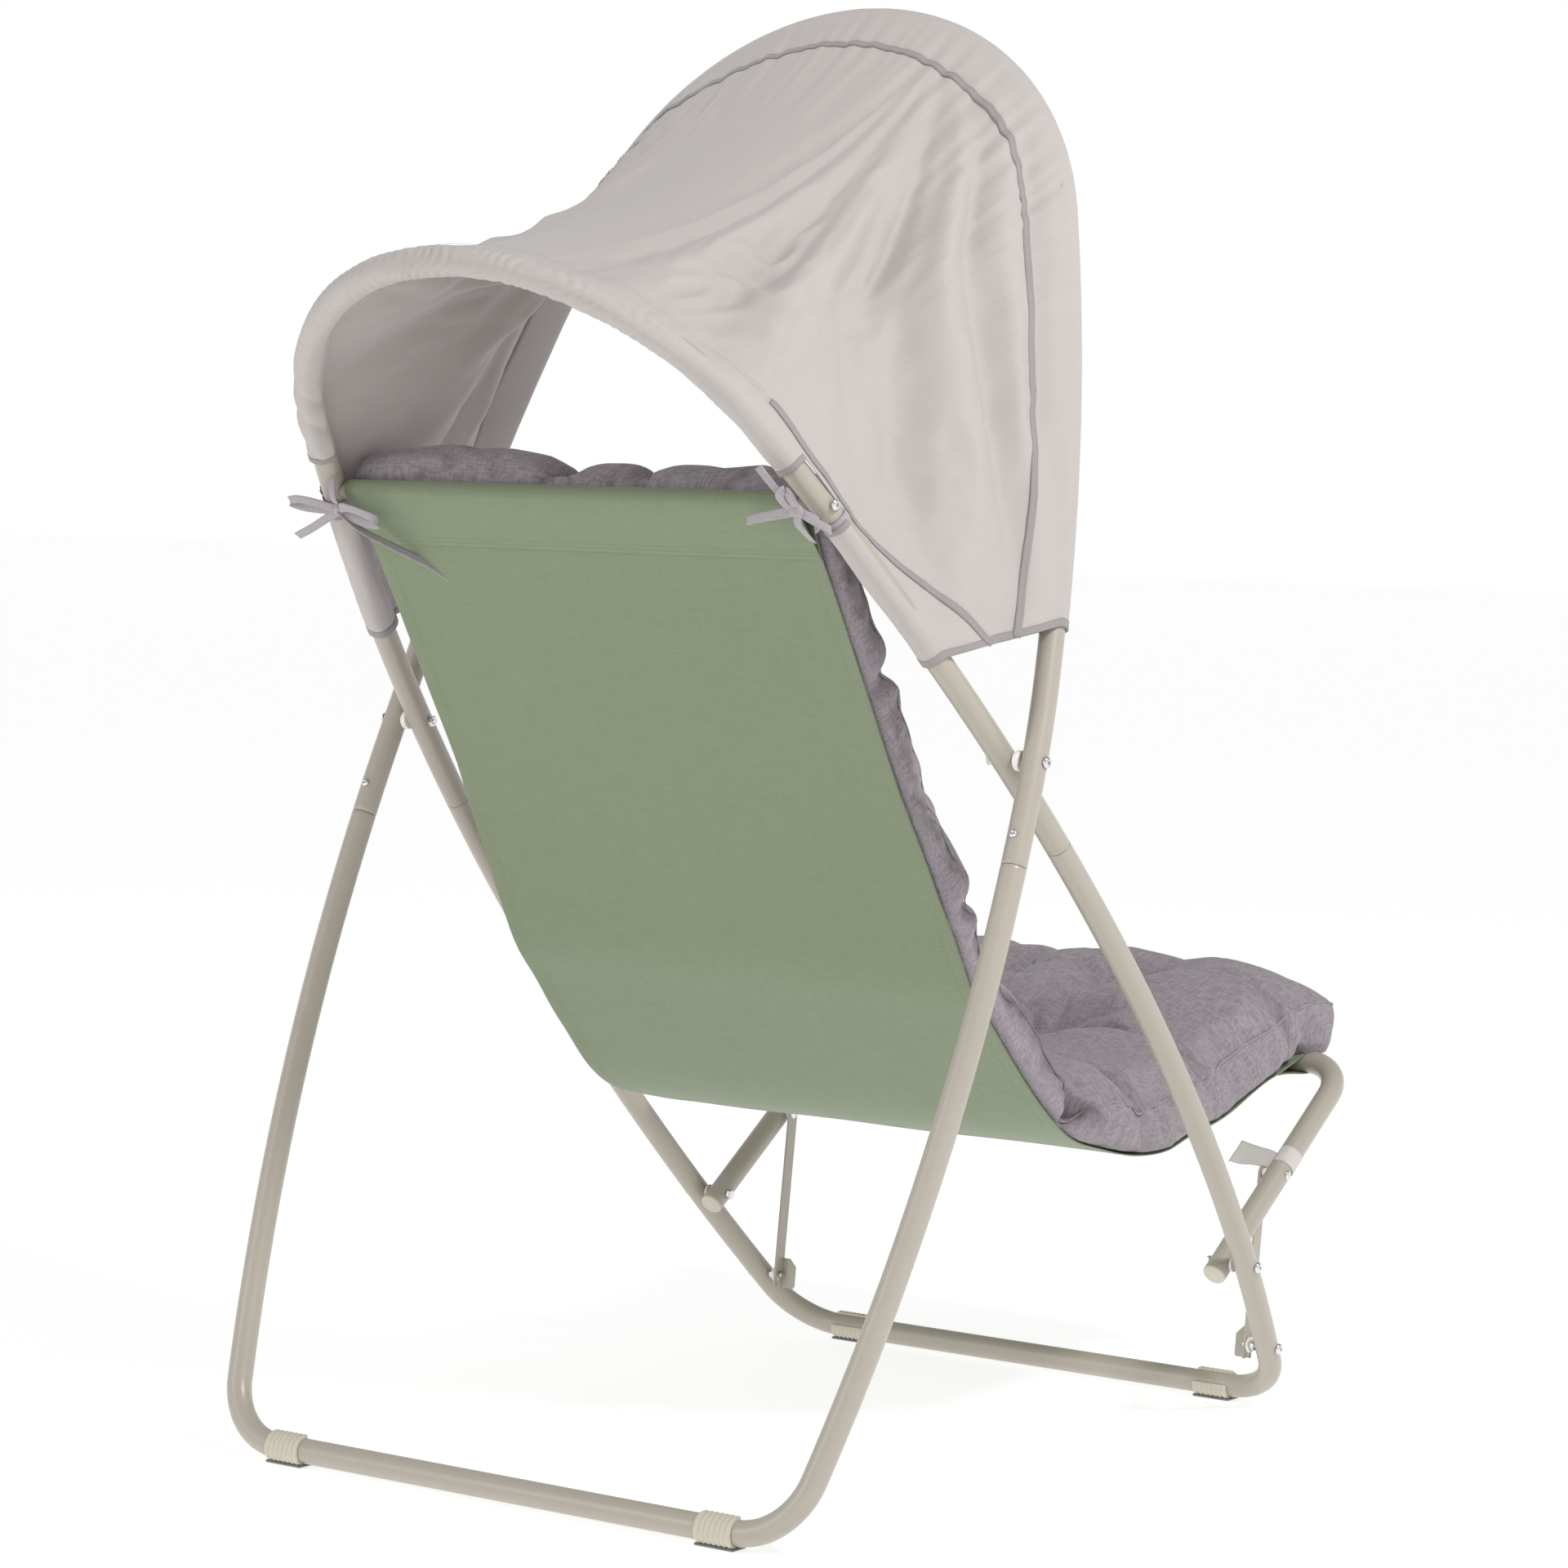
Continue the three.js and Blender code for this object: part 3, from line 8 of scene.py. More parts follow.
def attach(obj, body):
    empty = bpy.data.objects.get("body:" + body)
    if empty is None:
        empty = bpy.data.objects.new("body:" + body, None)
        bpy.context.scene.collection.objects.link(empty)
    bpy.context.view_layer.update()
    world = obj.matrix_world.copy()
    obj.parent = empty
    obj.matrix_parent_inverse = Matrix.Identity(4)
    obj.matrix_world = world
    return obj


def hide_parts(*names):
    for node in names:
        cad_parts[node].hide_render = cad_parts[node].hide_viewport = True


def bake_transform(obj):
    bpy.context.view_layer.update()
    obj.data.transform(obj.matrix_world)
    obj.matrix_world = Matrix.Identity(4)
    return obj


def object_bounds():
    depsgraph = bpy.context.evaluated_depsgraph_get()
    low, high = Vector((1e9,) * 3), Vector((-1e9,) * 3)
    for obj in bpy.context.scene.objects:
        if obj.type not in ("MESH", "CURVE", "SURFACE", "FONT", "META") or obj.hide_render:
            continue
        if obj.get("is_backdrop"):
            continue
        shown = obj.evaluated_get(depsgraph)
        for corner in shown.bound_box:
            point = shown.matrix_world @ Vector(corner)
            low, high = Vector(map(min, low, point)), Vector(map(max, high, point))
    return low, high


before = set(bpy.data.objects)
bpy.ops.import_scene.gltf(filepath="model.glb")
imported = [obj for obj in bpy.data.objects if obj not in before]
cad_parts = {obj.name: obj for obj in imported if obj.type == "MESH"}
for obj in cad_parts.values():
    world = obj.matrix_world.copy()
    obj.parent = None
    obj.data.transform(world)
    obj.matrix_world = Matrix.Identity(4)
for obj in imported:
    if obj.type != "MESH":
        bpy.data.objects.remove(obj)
cad_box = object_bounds()

# Sizes are in millimetres, as in the CAD, and meshes are scaled to metres when they are made.
# A rise is measured from the main pivot up along its frame's plane, and a drop the other way.
MM = 0.001
TUBE_R = 12.7
PIVOT = np.array([0.0, 184.0, 731.0])
BOW_R = 2600.0
BACK_LEAN_DEG = 42.3
BACK_HALF = 391.5
BACK_WIDEST_DROP = 358.0
BACK_HOOP_RISE = 619.0
LEG_LEAN_DEG = -22.35
LEG_WIDEST_DROP = 200.0
LEG_HOOP_RISE = 784.0
HOOP_RAKE_DEG = 3.0
FRAME_GAP = 9.16
SEAT_GAP = 4.6
TUBE_BORE = 11.2
FLOOR_BAR_Z = 15.5
FLOOR_BEND_R = 75.0
HEM_RISE = 135.0
TOP_BAR_RISE = 326.0
TOP_BAR_R = 9.5
BACK_SPLICE = -118.0
LEG_SPLICE = -107.0
SEAT_PIVOT_Z = 177.8
STUD_Z = 75.0
SEAT_RISE = math.radians(35.9)
ARM_LENGTH = 320.0
STRUT_ALONG = 140.0
STRUT_OUTER_X = 314.4


def unit(v):
    v = np.asarray(v, float)
    return v / np.maximum(np.linalg.norm(v, axis=-1, keepdims=True), 1e-12)


def clamp(share):
    return min(max(share, 0), 1)


def even(start, stop, steps):
    return [start + (stop - start) * i / steps for i in range(steps + 1)]


def lengths(line):
    """The distance along a line of points, at each point."""
    return np.r_[0, np.cumsum(np.linalg.norm(np.diff(line, axis=0), axis=1))]


def arc(x, y, radius, start, stop, steps):
    """Points of an arc after its first."""
    turns = even(start, stop, steps)[1:]
    return [(x + radius * math.cos(t), y + radius * math.sin(t)) for t in turns]


class Frame:
    """One bent tube frame: a leaning plane through the pivot, with bowed sides and a round hoop."""

    def __init__(self, lean_deg, widest, widest_drop, hoop_rise, rake_deg=0.0):
        lean = math.radians(lean_deg)
        self.up = np.array([0, math.sin(lean), math.cos(lean)])
        self.back = np.array([0, math.cos(lean), -math.sin(lean)])
        self.rake = math.tan(math.radians(rake_deg))
        self.drop = widest_drop
        self.bow = widest - BOW_R
        self.floor_rise = (FLOOR_BAR_Z - PIVOT[2]) / math.cos(lean)
        self.bend_rise = self.floor_rise + FLOOR_BEND_R
        bend_up = self.bend_rise + widest_drop
        self.bend_x = self.bow + math.sqrt((BOW_R - FLOOR_BEND_R) ** 2 - bend_up**2)
        over = hoop_rise + widest_drop
        self.arch_r = (BOW_R**2 - self.bow**2 - over**2) / (2 * (BOW_R - over))
        self.arch_rise = hoop_rise - self.arch_r
        self.arch_turn = math.atan2(self.arch_rise + widest_drop, -self.bow)
        self.arch_start = self.arch_rise + self.arch_r * math.sin(self.arch_turn)
        self.bend_turn = math.atan2(bend_up, self.bend_x - self.bow)

    def half(self, rise):
        return self.bow + math.sqrt(BOW_R**2 - (rise + self.drop) ** 2)

    def at(self, x, rise):
        offset = 0.0
        if rise > 0:
            offset = self.rake * (rise**2 / 160 if rise < 80 else rise - 40)
        return PIVOT + [x, 0, 0] + self.up * rise + self.back * offset

    def side(self, sign, rise):
        return self.at(sign * self.half(rise), rise)


back = Frame(BACK_LEAN_DEG, BACK_HALF, BACK_WIDEST_DROP, BACK_HOOP_RISE)
leg_widest = back.half(0) + 2 * TUBE_R + FRAME_GAP + BOW_R - math.sqrt(BOW_R**2 - LEG_WIDEST_DROP**2)
leg = Frame(LEG_LEAN_DEG, leg_widest, LEG_WIDEST_DROP, LEG_HOOP_RISE, HOOP_RAKE_DEG)


def back_drop(height):
    return (height - PIVOT[2]) / back.up[2]


seat_forward = np.array([0, -math.cos(SEAT_RISE), math.sin(SEAT_RISE)])
seat_up = np.array([0, math.sin(SEAT_RISE), math.cos(SEAT_RISE)])
seat_half = back.half(back_drop(SEAT_PIVOT_Z)) - 2 * TUBE_R - SEAT_GAP
seat_pivot = back.at(0, back_drop(SEAT_PIVOT_Z))
front_bar = seat_pivot + seat_forward * ARM_LENGTH
top_bar = back.at(0, TOP_BAR_RISE)


# Materials


def material(name, color, roughness, metallic=0.0, **sockets):
    made = bpy.data.materials.new(name)
    made.use_nodes = True
    shader = made.node_tree.nodes["Principled BSDF"]
    shader.inputs["Base Color"].default_value = (*color, 1)
    shader.inputs["Roughness"].default_value = roughness
    shader.inputs["Metallic"].default_value = metallic
    for socket, value in sockets.items():
        shader.inputs[socket.replace("_", " ")].default_value = value
    return made


class Nodes:
    """Short ways to add and link shader nodes."""

    def __init__(self, made):
        self.tree = made.node_tree
        self.shader = self.tree.nodes["Principled BSDF"]

    def add(self, kind, **values):
        node = self.tree.nodes.new(kind)
        for key, value in values.items():
            if hasattr(node, key):
                setattr(node, key, value)
            else:
                node.inputs[key.replace("_", " ")].default_value = value
        return node

    def link(self, a, b):
        self.tree.links.new(a, b)

    def math(self, operation, a, b=0.0):
        node = self.add("ShaderNodeMath", operation=operation)
        for socket, value in zip(node.inputs, (a, b)):
            if isinstance(value, (int, float)):
                socket.default_value = value
            else:
                self.link(value, socket)
        return node.outputs[0]

    def mix(self, share, a, b):
        node = self.add("ShaderNodeMix", data_type="RGBA")
        self.link(share, node.inputs[0])
        for socket, value in ((node.inputs[6], a), (node.inputs[7], b)):
            if isinstance(value, tuple):
                socket.default_value = (*value, 1)
            else:
                self.link(value, socket)
        return node.outputs[2]

    def noise(self, vector, scale, detail=2.0, rough=0.5):
        node = self.add("ShaderNodeTexNoise", Scale=scale, Detail=detail, Roughness=rough)
        self.link(vector, node.inputs["Vector"])
        return node.outputs["Fac"]

    def stretch(self, vector, scale):
        node = self.add("ShaderNodeMapping")
        node.inputs["Scale"].default_value = scale
        self.link(vector, node.inputs["Vector"])
        return node.outputs["Vector"]

    def map_range(self, value, **limits):
        node = self.add("ShaderNodeMapRange", **limits)
        self.link(value, node.inputs["Value"])
        return node.outputs["Result"]

    def bump(self, height, strength, distance):
        node = self.add("ShaderNodeBump", Strength=strength, Distance=distance)
        self.link(height, node.inputs["Height"])
        self.paint("Normal", node.outputs["Normal"])

    def paint(self, socket, value):
        self.link(value, self.shader.inputs[socket])


def hard_material(name, color, roughness, grain, depth, metallic=0.0, spread=0.06, **sockets):
    """Painted metal or moulded plastic: soft tone variation, fine skin texture."""
    made = material(name, color, roughness, metallic, **sockets)
    n = Nodes(made)
    place = n.add("ShaderNodeTexCoord").outputs["Object"]
    slow = n.noise(place, 9.0, 3.0)
    dark = tuple(c * (1 - spread) for c in color)
    light = tuple(min(c * (1 + spread), 1) for c in color)
    n.paint("Base Color", n.mix(slow, dark, light))
    fine = n.noise(place, grain, 2.0)
    worn = n.noise(place, 45.0, 3.0)
    n.paint("Roughness", n.map_range(worn, To_Min=roughness - 0.05, To_Max=roughness + 0.06))
    n.bump(fine, 0.25, depth)
    return made


def cloth_material(name, warp, weft, pitches, depth, slub=0.35, streak=24.0, rib=0.5, roughness=0.9):
    """Woven cloth on UVs in metres: threads both ways, uneven yarn tone and a soft sheen."""
    pitch_u, pitch_v = pitches
    sheen = {"Sheen_Weight": 0.2, "Sheen_Roughness": 0.5, "Specular_IOR_Level": 0.25}
    made = material(name, warp, roughness, **sheen)
    n = Nodes(made)
    uv = n.add("ShaderNodeUVMap", uv_map="cloth").outputs["UV"]
    parts = n.add("ShaderNodeSeparateXYZ")
    n.link(uv, parts.inputs[0])
    u, v = parts.outputs[0], parts.outputs[1]
    wave_u = n.math("SINE", n.math("MULTIPLY", u, 2 * math.pi / pitch_u))
    wave_v = n.math("SINE", n.math("MULTIPLY", v, 2 * math.pi / pitch_v))
    cross = n.math("MULTIPLY", wave_u, wave_v)
    yarn_u = n.noise(n.stretch(uv, (1 / pitch_u / 2, streak, 1)), 1.0, 2.0)
    yarn_v = n.noise(n.stretch(uv, (streak, 1 / pitch_v / 2, 1)), 1.0, 2.0)
    yarn = n.math("ADD", n.math("MULTIPLY", yarn_u, 0.5), n.math("MULTIPLY", yarn_v, 0.5))
    reach = 0.07 / slub
    tone = n.map_range(yarn, From_Min=0.5 - reach, From_Max=0.5 + reach)
    slow = n.noise(uv, 3.0, 3.0)
    share = n.math("ADD", n.math("MULTIPLY", tone, 0.8), n.math("MULTIPLY", slow, 0.2))
    n.paint("Base Color", n.mix(share, weft, warp))
    height = n.math("ADD", n.math("MULTIPLY", cross, 1 - rib), n.math("MULTIPLY", wave_v, rib))
    height = n.math("ADD", height, n.math("MULTIPLY", yarn, 1.2))
    n.bump(height, 0.5, depth)
    return made


PAINT = hard_material(
    "frame_paint", (0.41, 0.372, 0.315), 0.36, 900.0, 0.00012, Coat_Weight=0.25, Coat_Roughness=0.25
)
ZINC = hard_material("zinc", (0.72, 0.72, 0.74), 0.24, 500.0, 0.0001, metallic=1.0, spread=0.12)
WHITE = hard_material("white_plastic", (0.83, 0.82, 0.79), 0.4, 600.0, 0.00008, spread=0.03)
CREAM = hard_material("foot_plastic", (0.56, 0.525, 0.43), 0.5, 700.0, 0.00015, spread=0.05)
SOLE = hard_material("foot_sole", (0.16, 0.155, 0.15), 0.7, 700.0, 0.0002, spread=0.1)
CANOPY = cloth_material(
    "canopy_cloth", (0.475, 0.44, 0.423), (0.45, 0.417, 0.40), (0.0011, 0.0011), 0.00005,
    slub=0.5, roughness=0.75,
)
BINDING = cloth_material(
    "canopy_binding", (0.33, 0.305, 0.298), (0.28, 0.26, 0.252), (0.0012, 0.0012), 0.0001, roughness=0.85
)
SLING = cloth_material(
    "sling_cloth", (0.213, 0.257, 0.162), (0.188, 0.228, 0.143), (0.0016, 0.0022), 0.00012,
    rib=0.75, roughness=0.82,
)
CUSHION = cloth_material(
    "cushion_cloth", (0.35, 0.313, 0.338), (0.225, 0.199, 0.22), (0.0013, 0.0013), 0.00014,
    slub=0.8, streak=75.0, rib=0.2, roughness=0.95,
)
LABEL = cloth_material(
    "label_film", (0.62, 0.58, 0.56), (0.58, 0.545, 0.53), (0.0008, 0.0008), 0.00003, roughness=0.6
)
TIE = cloth_material(
    "tie_cloth", (0.42, 0.385, 0.405), (0.33, 0.30, 0.318), (0.0012, 0.0012), 0.0001, streak=75.0
)
THREAD_GREEN = material("thread_green", (0.30, 0.36, 0.235), 0.8)
THREAD_GREY = material("thread_grey", (0.40, 0.375, 0.365), 0.8)


# Mesh helpers


def put_uv(mesh, uv):
    layer = mesh.uv_layers.new(name="cloth")
    which = np.zeros(len(mesh.loops), int)
    mesh.loops.foreach_get("vertex_index", which)
    layer.data.foreach_set("uv", (np.asarray(uv, float) * MM)[which].ravel())


def make_mesh(name, points, faces, made, uv=None, smooth=True):
    mesh = bpy.data.meshes.new(name)
    mesh.from_pydata([tuple(p) for p in np.asarray(points, float) * MM], [], [tuple(f) for f in faces])
    mesh.validate()
    if smooth:
        mesh.polygons.foreach_set("use_smooth", [True] * len(mesh.polygons))
    if uv is not None:
        put_uv(mesh, uv)
    mesh.materials.append(made)
    obj = bpy.data.objects.new(name, mesh)
    bpy.context.scene.collection.objects.link(obj)
    return obj


def modified(obj, kind, **values):
    modifier = obj.modifiers.new(kind.title(), kind)
    for key, value in values.items():
        setattr(modifier, key, value)
    return obj


def soft_edges(obj, width):
    angle = math.radians(35)
    modified(obj, "BEVEL", width=width * MM, segments=2, limit_method="ANGLE", angle_limit=angle)
    modified(obj, "WEIGHTED_NORMAL")


def apply_modifiers(obj):
    graph = bpy.context.evaluated_depsgraph_get()
    mesh = bpy.data.meshes.new_from_object(obj.evaluated_get(graph))
    obj.modifiers.clear()
    obj.data = mesh
    return obj


def grid_faces(rows, columns, wrap=False, skip=None):
    """Quads over a grid of points, row by row."""
    faces = []
    for a in range(0, (rows - 1) * columns, columns):
        b = a + columns
        for c in range(columns if wrap else columns - 1):
            if skip is None or not skip(a // columns, c):
                d = (c + 1) % columns
                faces.append((a + c, a + d, b + d, b + c))
    return faces


def closed_faces(rows, columns):
    """The faces of a closed tube of rings, with flat ends."""
    last = (rows - 1) * columns
    ends = [tuple(range(columns))[::-1], tuple(range(last, last + columns))]
    return grid_faces(rows, columns, wrap=True) + ends


def prism(name, near, far, made):
    """A solid between two outlines with the same number of points."""
    count = len(near)
    faces = [tuple(range(count)), tuple(range(2 * count - 1, count - 1, -1))]
    faces += [(i, i + count, (i + 1) % count + count, (i + 1) % count) for i in range(count)]
    return make_mesh(name, near + far, faces, made, smooth=False)


def directions(points):
    return unit(np.gradient(np.asarray(points, float), axis=0))


def tube(name, points, normal, radii, sides=28):
    """A painted tube along points, with a radius at each."""
    points = np.asarray(points, float)
    along = directions(points)
    side = unit(np.cross(normal, along))
    upright = np.cross(along, side)
    turn = np.arange(sides) * 2 * math.pi / sides
    out = side[:, None] * np.cos(turn)[None, :, None] + upright[:, None] * np.sin(turn)[None, :, None]
    rings = points[:, None] + out * np.asarray(radii, float)[:, None, None]
    return make_mesh(name, rings.reshape(-1, 3), closed_faces(len(points), sides), PAINT)


def finish_piece(obj, body, nodes=()):
    if nodes:
        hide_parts(*nodes)
    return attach(obj, body)


def join_objects(name, objects):
    """One object of several, with their materials kept."""
    made = objects[0]
    with bpy.context.temp_override(active_object=made, selected_editable_objects=objects):
        bpy.ops.object.join()
    made.name = name
    return made


# Tubes


def both_sides(half):
    return half + [(-x, rise) for x, rise in half[-2::-1]]


def frame_tube(name, node, body, f, half, ends):
    """A half of a frame: half gives (half width, rise) from one end to the middle."""
    half = [(f.half(rise), rise) for rise, _ in ends] + half
    radii = [r for _, r in ends] + [TUBE_R] * (len(half) - len(ends))
    points = [f.at(x, rise) for x, rise in both_sides(half)]
    obj = tube(name, points, f.back, radii + radii[-2::-1])
    return finish_piece(obj, body, [node])


def lower_tube(name, node, body, f, splice):
    ends = [(splice + 8, 10.95), (splice + 0.02, 10.95), (splice, 12.1), (splice - 0.7, TUBE_R)]
    bend_top = f.bend_rise + FLOOR_BEND_R * math.sin(f.bend_turn)
    half = [(f.half(rise), rise) for rise in even(splice - 4, bend_top, 70)]
    half += arc(f.bend_x, f.bend_rise, FLOOR_BEND_R, f.bend_turn, -math.pi / 2, 26)
    half += [(x, f.floor_rise) for x in even(f.bend_x, 0, 6)[1:]]
    return frame_tube(name, node, body, f, half, ends)


def upper_tube(name, node, body, f, splice):
    ends = [(splice + 0.4, TUBE_BORE), (splice + 0.42, 12.1), (splice + 1.1, TUBE_R)]
    half = [(f.half(rise), rise) for rise in even(splice + 5, f.arch_start, 70)]
    half += arc(0, f.arch_rise, f.arch_r, f.arch_turn, math.pi / 2, 48)
    return frame_tube(name, node, body, f, half, ends)


lower_tube("front_leg_tube", "front_leg_frame", "back_frame", back, BACK_SPLICE)
upper_tube("backrest_tube", "backrest_hoop", "back_frame", back, BACK_SPLICE)
lower_tube("rear_leg_tube", "rear_leg_frame", "leg_frame", leg, LEG_SPLICE)
upper_tube("front_hoop_tube", "canopy_front_hoop", "leg_frame", leg, LEG_SPLICE)


def seat_tube():
    corner = 50.0
    ends = [(seat_half, -17.0), (seat_half, -16.9), (seat_half, -16.0)]
    half = ends + [(seat_half, a) for a in even(-10, ARM_LENGTH - corner, 20)]
    half += arc(seat_half - corner, ARM_LENGTH - corner, corner, 0, math.pi / 2, 20)
    half += [(x, ARM_LENGTH) for x in even(seat_half - corner, 0, 6)[1:]]
    radii = [TUBE_BORE, 12.2] + [TUBE_R] * (len(half) - 2)
    points = [seat_pivot + [x, 0, 0] + seat_forward * a for x, a in both_sides(half)]
    obj = tube("seat_tube", points, seat_up, radii + radii[-2::-1])
    finish_piece(obj, "seat_frame_body", ["seat_frame"])


seat_tube()

bar_end = back.half(TOP_BAR_RISE) - TUBE_R - 0.4
bar_points = [top_bar + [x, 0, 0] for x in even(-bar_end, bar_end, 8)]
bar = tube("sling_bar", bar_points, [0, 0, 1], [TOP_BAR_R] * len(bar_points))
finish_piece(bar, "back_frame", ["sling_top_bar"])


# Fasteners, spacers and caps

SCREW_R = 3.0
HEAD_R = 6.0
HEAD_H = 3.2
NUT_R = 5.9
NUT_LENGTH = 4.5
THREAD_PAST = 5.5
# Shorter at the seat's pivots, where the folded struts pass.
SEAT_THREAD_PAST = 4.4
COLLAR_R = 5.5
STRUT_THICK = 2.5
AXLE = 0.05


def lathe(name, profile, made, centre, axis, hexed=()):
    """A turned piece about axis. The profile gives (distance along the axis, radius); rings whose
    number is in hexed have a hexagon's outline instead of a circle's."""
    sides = 36
    axis = unit(axis)
    side = unit(np.cross(axis, [0.13, 0.21, 0.97]))
    upright = np.cross(axis, side)
    points = []
    for number, (along, radius) in enumerate(profile):
        for i in range(sides):
            turn = 2 * math.pi * i / sides
            r = radius
            if number in hexed:
                local = (turn % (math.pi / 3)) - math.pi / 6
                r = radius * math.cos(math.pi / 6) / math.cos(local)
            out = side * math.cos(turn) + upright * math.sin(turn)
            points.append(np.asarray(centre) + axis * along + out * r)
    obj = make_mesh(name, points, closed_faces(len(profile), sides), made)
    return modified(obj, "EDGE_SPLIT", split_angle=math.radians(38))


def dome(tip, foot, rim, crown, start, stop, steps):
    """Profile of a domed head: heights from foot to tip, radii from crown out to rim."""
    return [
        (foot + tip * math.sin(t), crown + rim * math.cos(t)) for t in even(start, stop, steps)
    ]


def button_head():
    """Profile of a button head with a hexagon socket, from the tip of the socket outwards."""
    socket = 2.1
    floor, flat = HEAD_H - 1.9, socket * 1.25
    hole = [(floor, AXLE), (floor, socket), (HEAD_H - 0.15, socket), (HEAD_H, socket * 1.12)]
    round_part = dome(HEAD_H, 0, HEAD_R - flat, flat, math.pi / 2, 0.12, 7)
    return hole + round_part + [(0, HEAD_R - 0.15)]


def outside(sign, x, centre):
    return [sign * x, centre[1], centre[2]]


def bolt(name, node, centre, sign, head_x, shank, thick=SCREW_R):
    profile = button_head() + [(-0.02, thick), (-shank, thick), (-shank, AXLE)]
    obj = lathe(name, profile, ZINC, outside(sign, head_x, centre), [sign, 0, 0], hexed=(1, 2))
    finish_piece(obj, "back_frame", [node])


def ring_piece(name, node, body, centre, sign, outer_x, length, radius, nut=False):
    """A white spacer or a zinc nut, from outer_x inwards."""
    edge = min(0.7, length / 4)
    bore = SCREW_R + 0.2
    profile = [(-length, bore), (-length, radius - edge), (-length + edge, radius)]
    profile += [(-edge, radius), (0, radius - edge), (0, bore)]
    hexed = (1, 2, 3, 4) if nut else ()
    made, slot = (ZINC, "zinc") if nut else (WHITE, "white_plastic")
    obj = lathe(name, profile, made, outside(sign, outer_x, centre), [sign, 0, 0], hexed)
    finish_piece(obj, body, [node])


def face_gap(f, rise, radius):
    """The room that a flat face of this radius needs on the bowed tube."""
    return 0.45 + abs(f.half(rise + 1) - f.half(rise - 1)) / 2 * radius


def main_pivot(side, sign):
    centre = leg.side(sign, 0)
    outer = leg.half(0) + TUBE_R + face_gap(leg, 0, 6)
    inner = back.half(0) - TUBE_R - face_gap(back, 0, 5.5)
    bolt(f"pivot_screw_{side}", f"pivot_bolt_{side}", centre, sign, outer, outer - inner + THREAD_PAST)
    nut = (f"pivot_hex_{side}", f"pivot_nut_{side}")
    ring_piece(*nut, "back_frame", centre, sign, inner, NUT_LENGTH, NUT_R, nut=True)
    start = leg.half(0) - TUBE_R - face_gap(leg, 0, 10)
    stop = back.half(0) + TUBE_R + face_gap(back, 0, 10)
    bush = (f"pivot_bush_{side}", f"pivot_spacer_{side}")
    ring_piece(*bush, "back_frame", centre, sign, start, start - stop, 10.0)


def lower_pivot(side, sign):
    rise = back_drop(SEAT_PIVOT_Z)
    centre = back.side(sign, rise)
    outer = back.half(rise) + TUBE_R + face_gap(back, rise, 6)
    inner = seat_half - TUBE_R - 0.3
    shank = outer - inner + SEAT_THREAD_PAST
    bolt(f"seat_screw_{side}", f"seat_pivot_bolt_{side}", centre, sign, outer, shank)
    nut = (f"seat_hex_{side}", f"seat_pivot_nut_{side}")
    ring_piece(*nut, "back_frame", centre, sign, inner, NUT_LENGTH, NUT_R, nut=True)
    start = back.half(rise) - TUBE_R - face_gap(back, rise, 8.5)
    stop = seat_half + TUBE_R + 0.3
    bush = (f"seat_bush_{side}", f"seat_pivot_spacer_{side}")
    ring_piece(*bush, "back_frame", centre, sign, start, start - stop, 8.5)


def strut_fasteners(side, sign):
    rise = back_drop(STUD_Z)
    stud = back.side(sign, rise)
    outer = back.half(rise) + TUBE_R + face_gap(back, rise, 6)
    collar = back.half(rise) - TUBE_R - face_gap(back, rise, COLLAR_R) - outer
    plate = STRUT_OUTER_X - outer
    tip = plate - STRUT_THICK - 0.3
    profile = button_head() + [(-0.02, SCREW_R), (collar, SCREW_R), (collar - 0.02, COLLAR_R)]
    profile += [(plate + 4, COLLAR_R), (plate + 3.98, SCREW_R), (tip - 3.2, SCREW_R)]
    profile += [(tip - 3.8, 2.4), (tip - 3.8, AXLE)]
    obj = lathe(f"stud_{side}", profile, ZINC, outside(sign, outer, stud), [sign, 0, 0], hexed=(1, 2))
    finish_piece(obj, "back_frame", [f"strut_stud_{side}"])
    washer = (f"washer_{side}", f"stud_washer_{side}")
    ring_piece(*washer, "back_frame", stud, sign, STRUT_OUTER_X + 3.7, 3.4, 8.5)

    top = seat_pivot + seat_forward * STRUT_ALONG
    arm_out = seat_half + TUBE_R + 0.3
    arm_in = seat_half - TUBE_R - 0.3
    low = STRUT_OUTER_X - STRUT_THICK - 0.3 - arm_out
    profile = dome(1.6, 0, 5.4, 0.1, math.pi / 2, 0.1, 6)
    profile += [(0, 5.3), (-0.02, SCREW_R), (low, SCREW_R), (low - 0.02, 5.4)]
    profile += dome(-1.7, low, 5.3, 0.1, 0.1, math.pi / 2, 5)
    obj = lathe(f"rivet_{side}", profile, ZINC, outside(sign, arm_out, top), [sign, 0, 0])
    finish_piece(obj, "seat_frame_body", [f"strut_rivet_{side}"])
    bush = (f"strut_bush_{side}", f"strut_spacer_{side}")
    ring_piece(*bush, "seat_frame_body", top, sign, arm_in, arm_in - STRUT_OUTER_X - 0.3, 5.5)


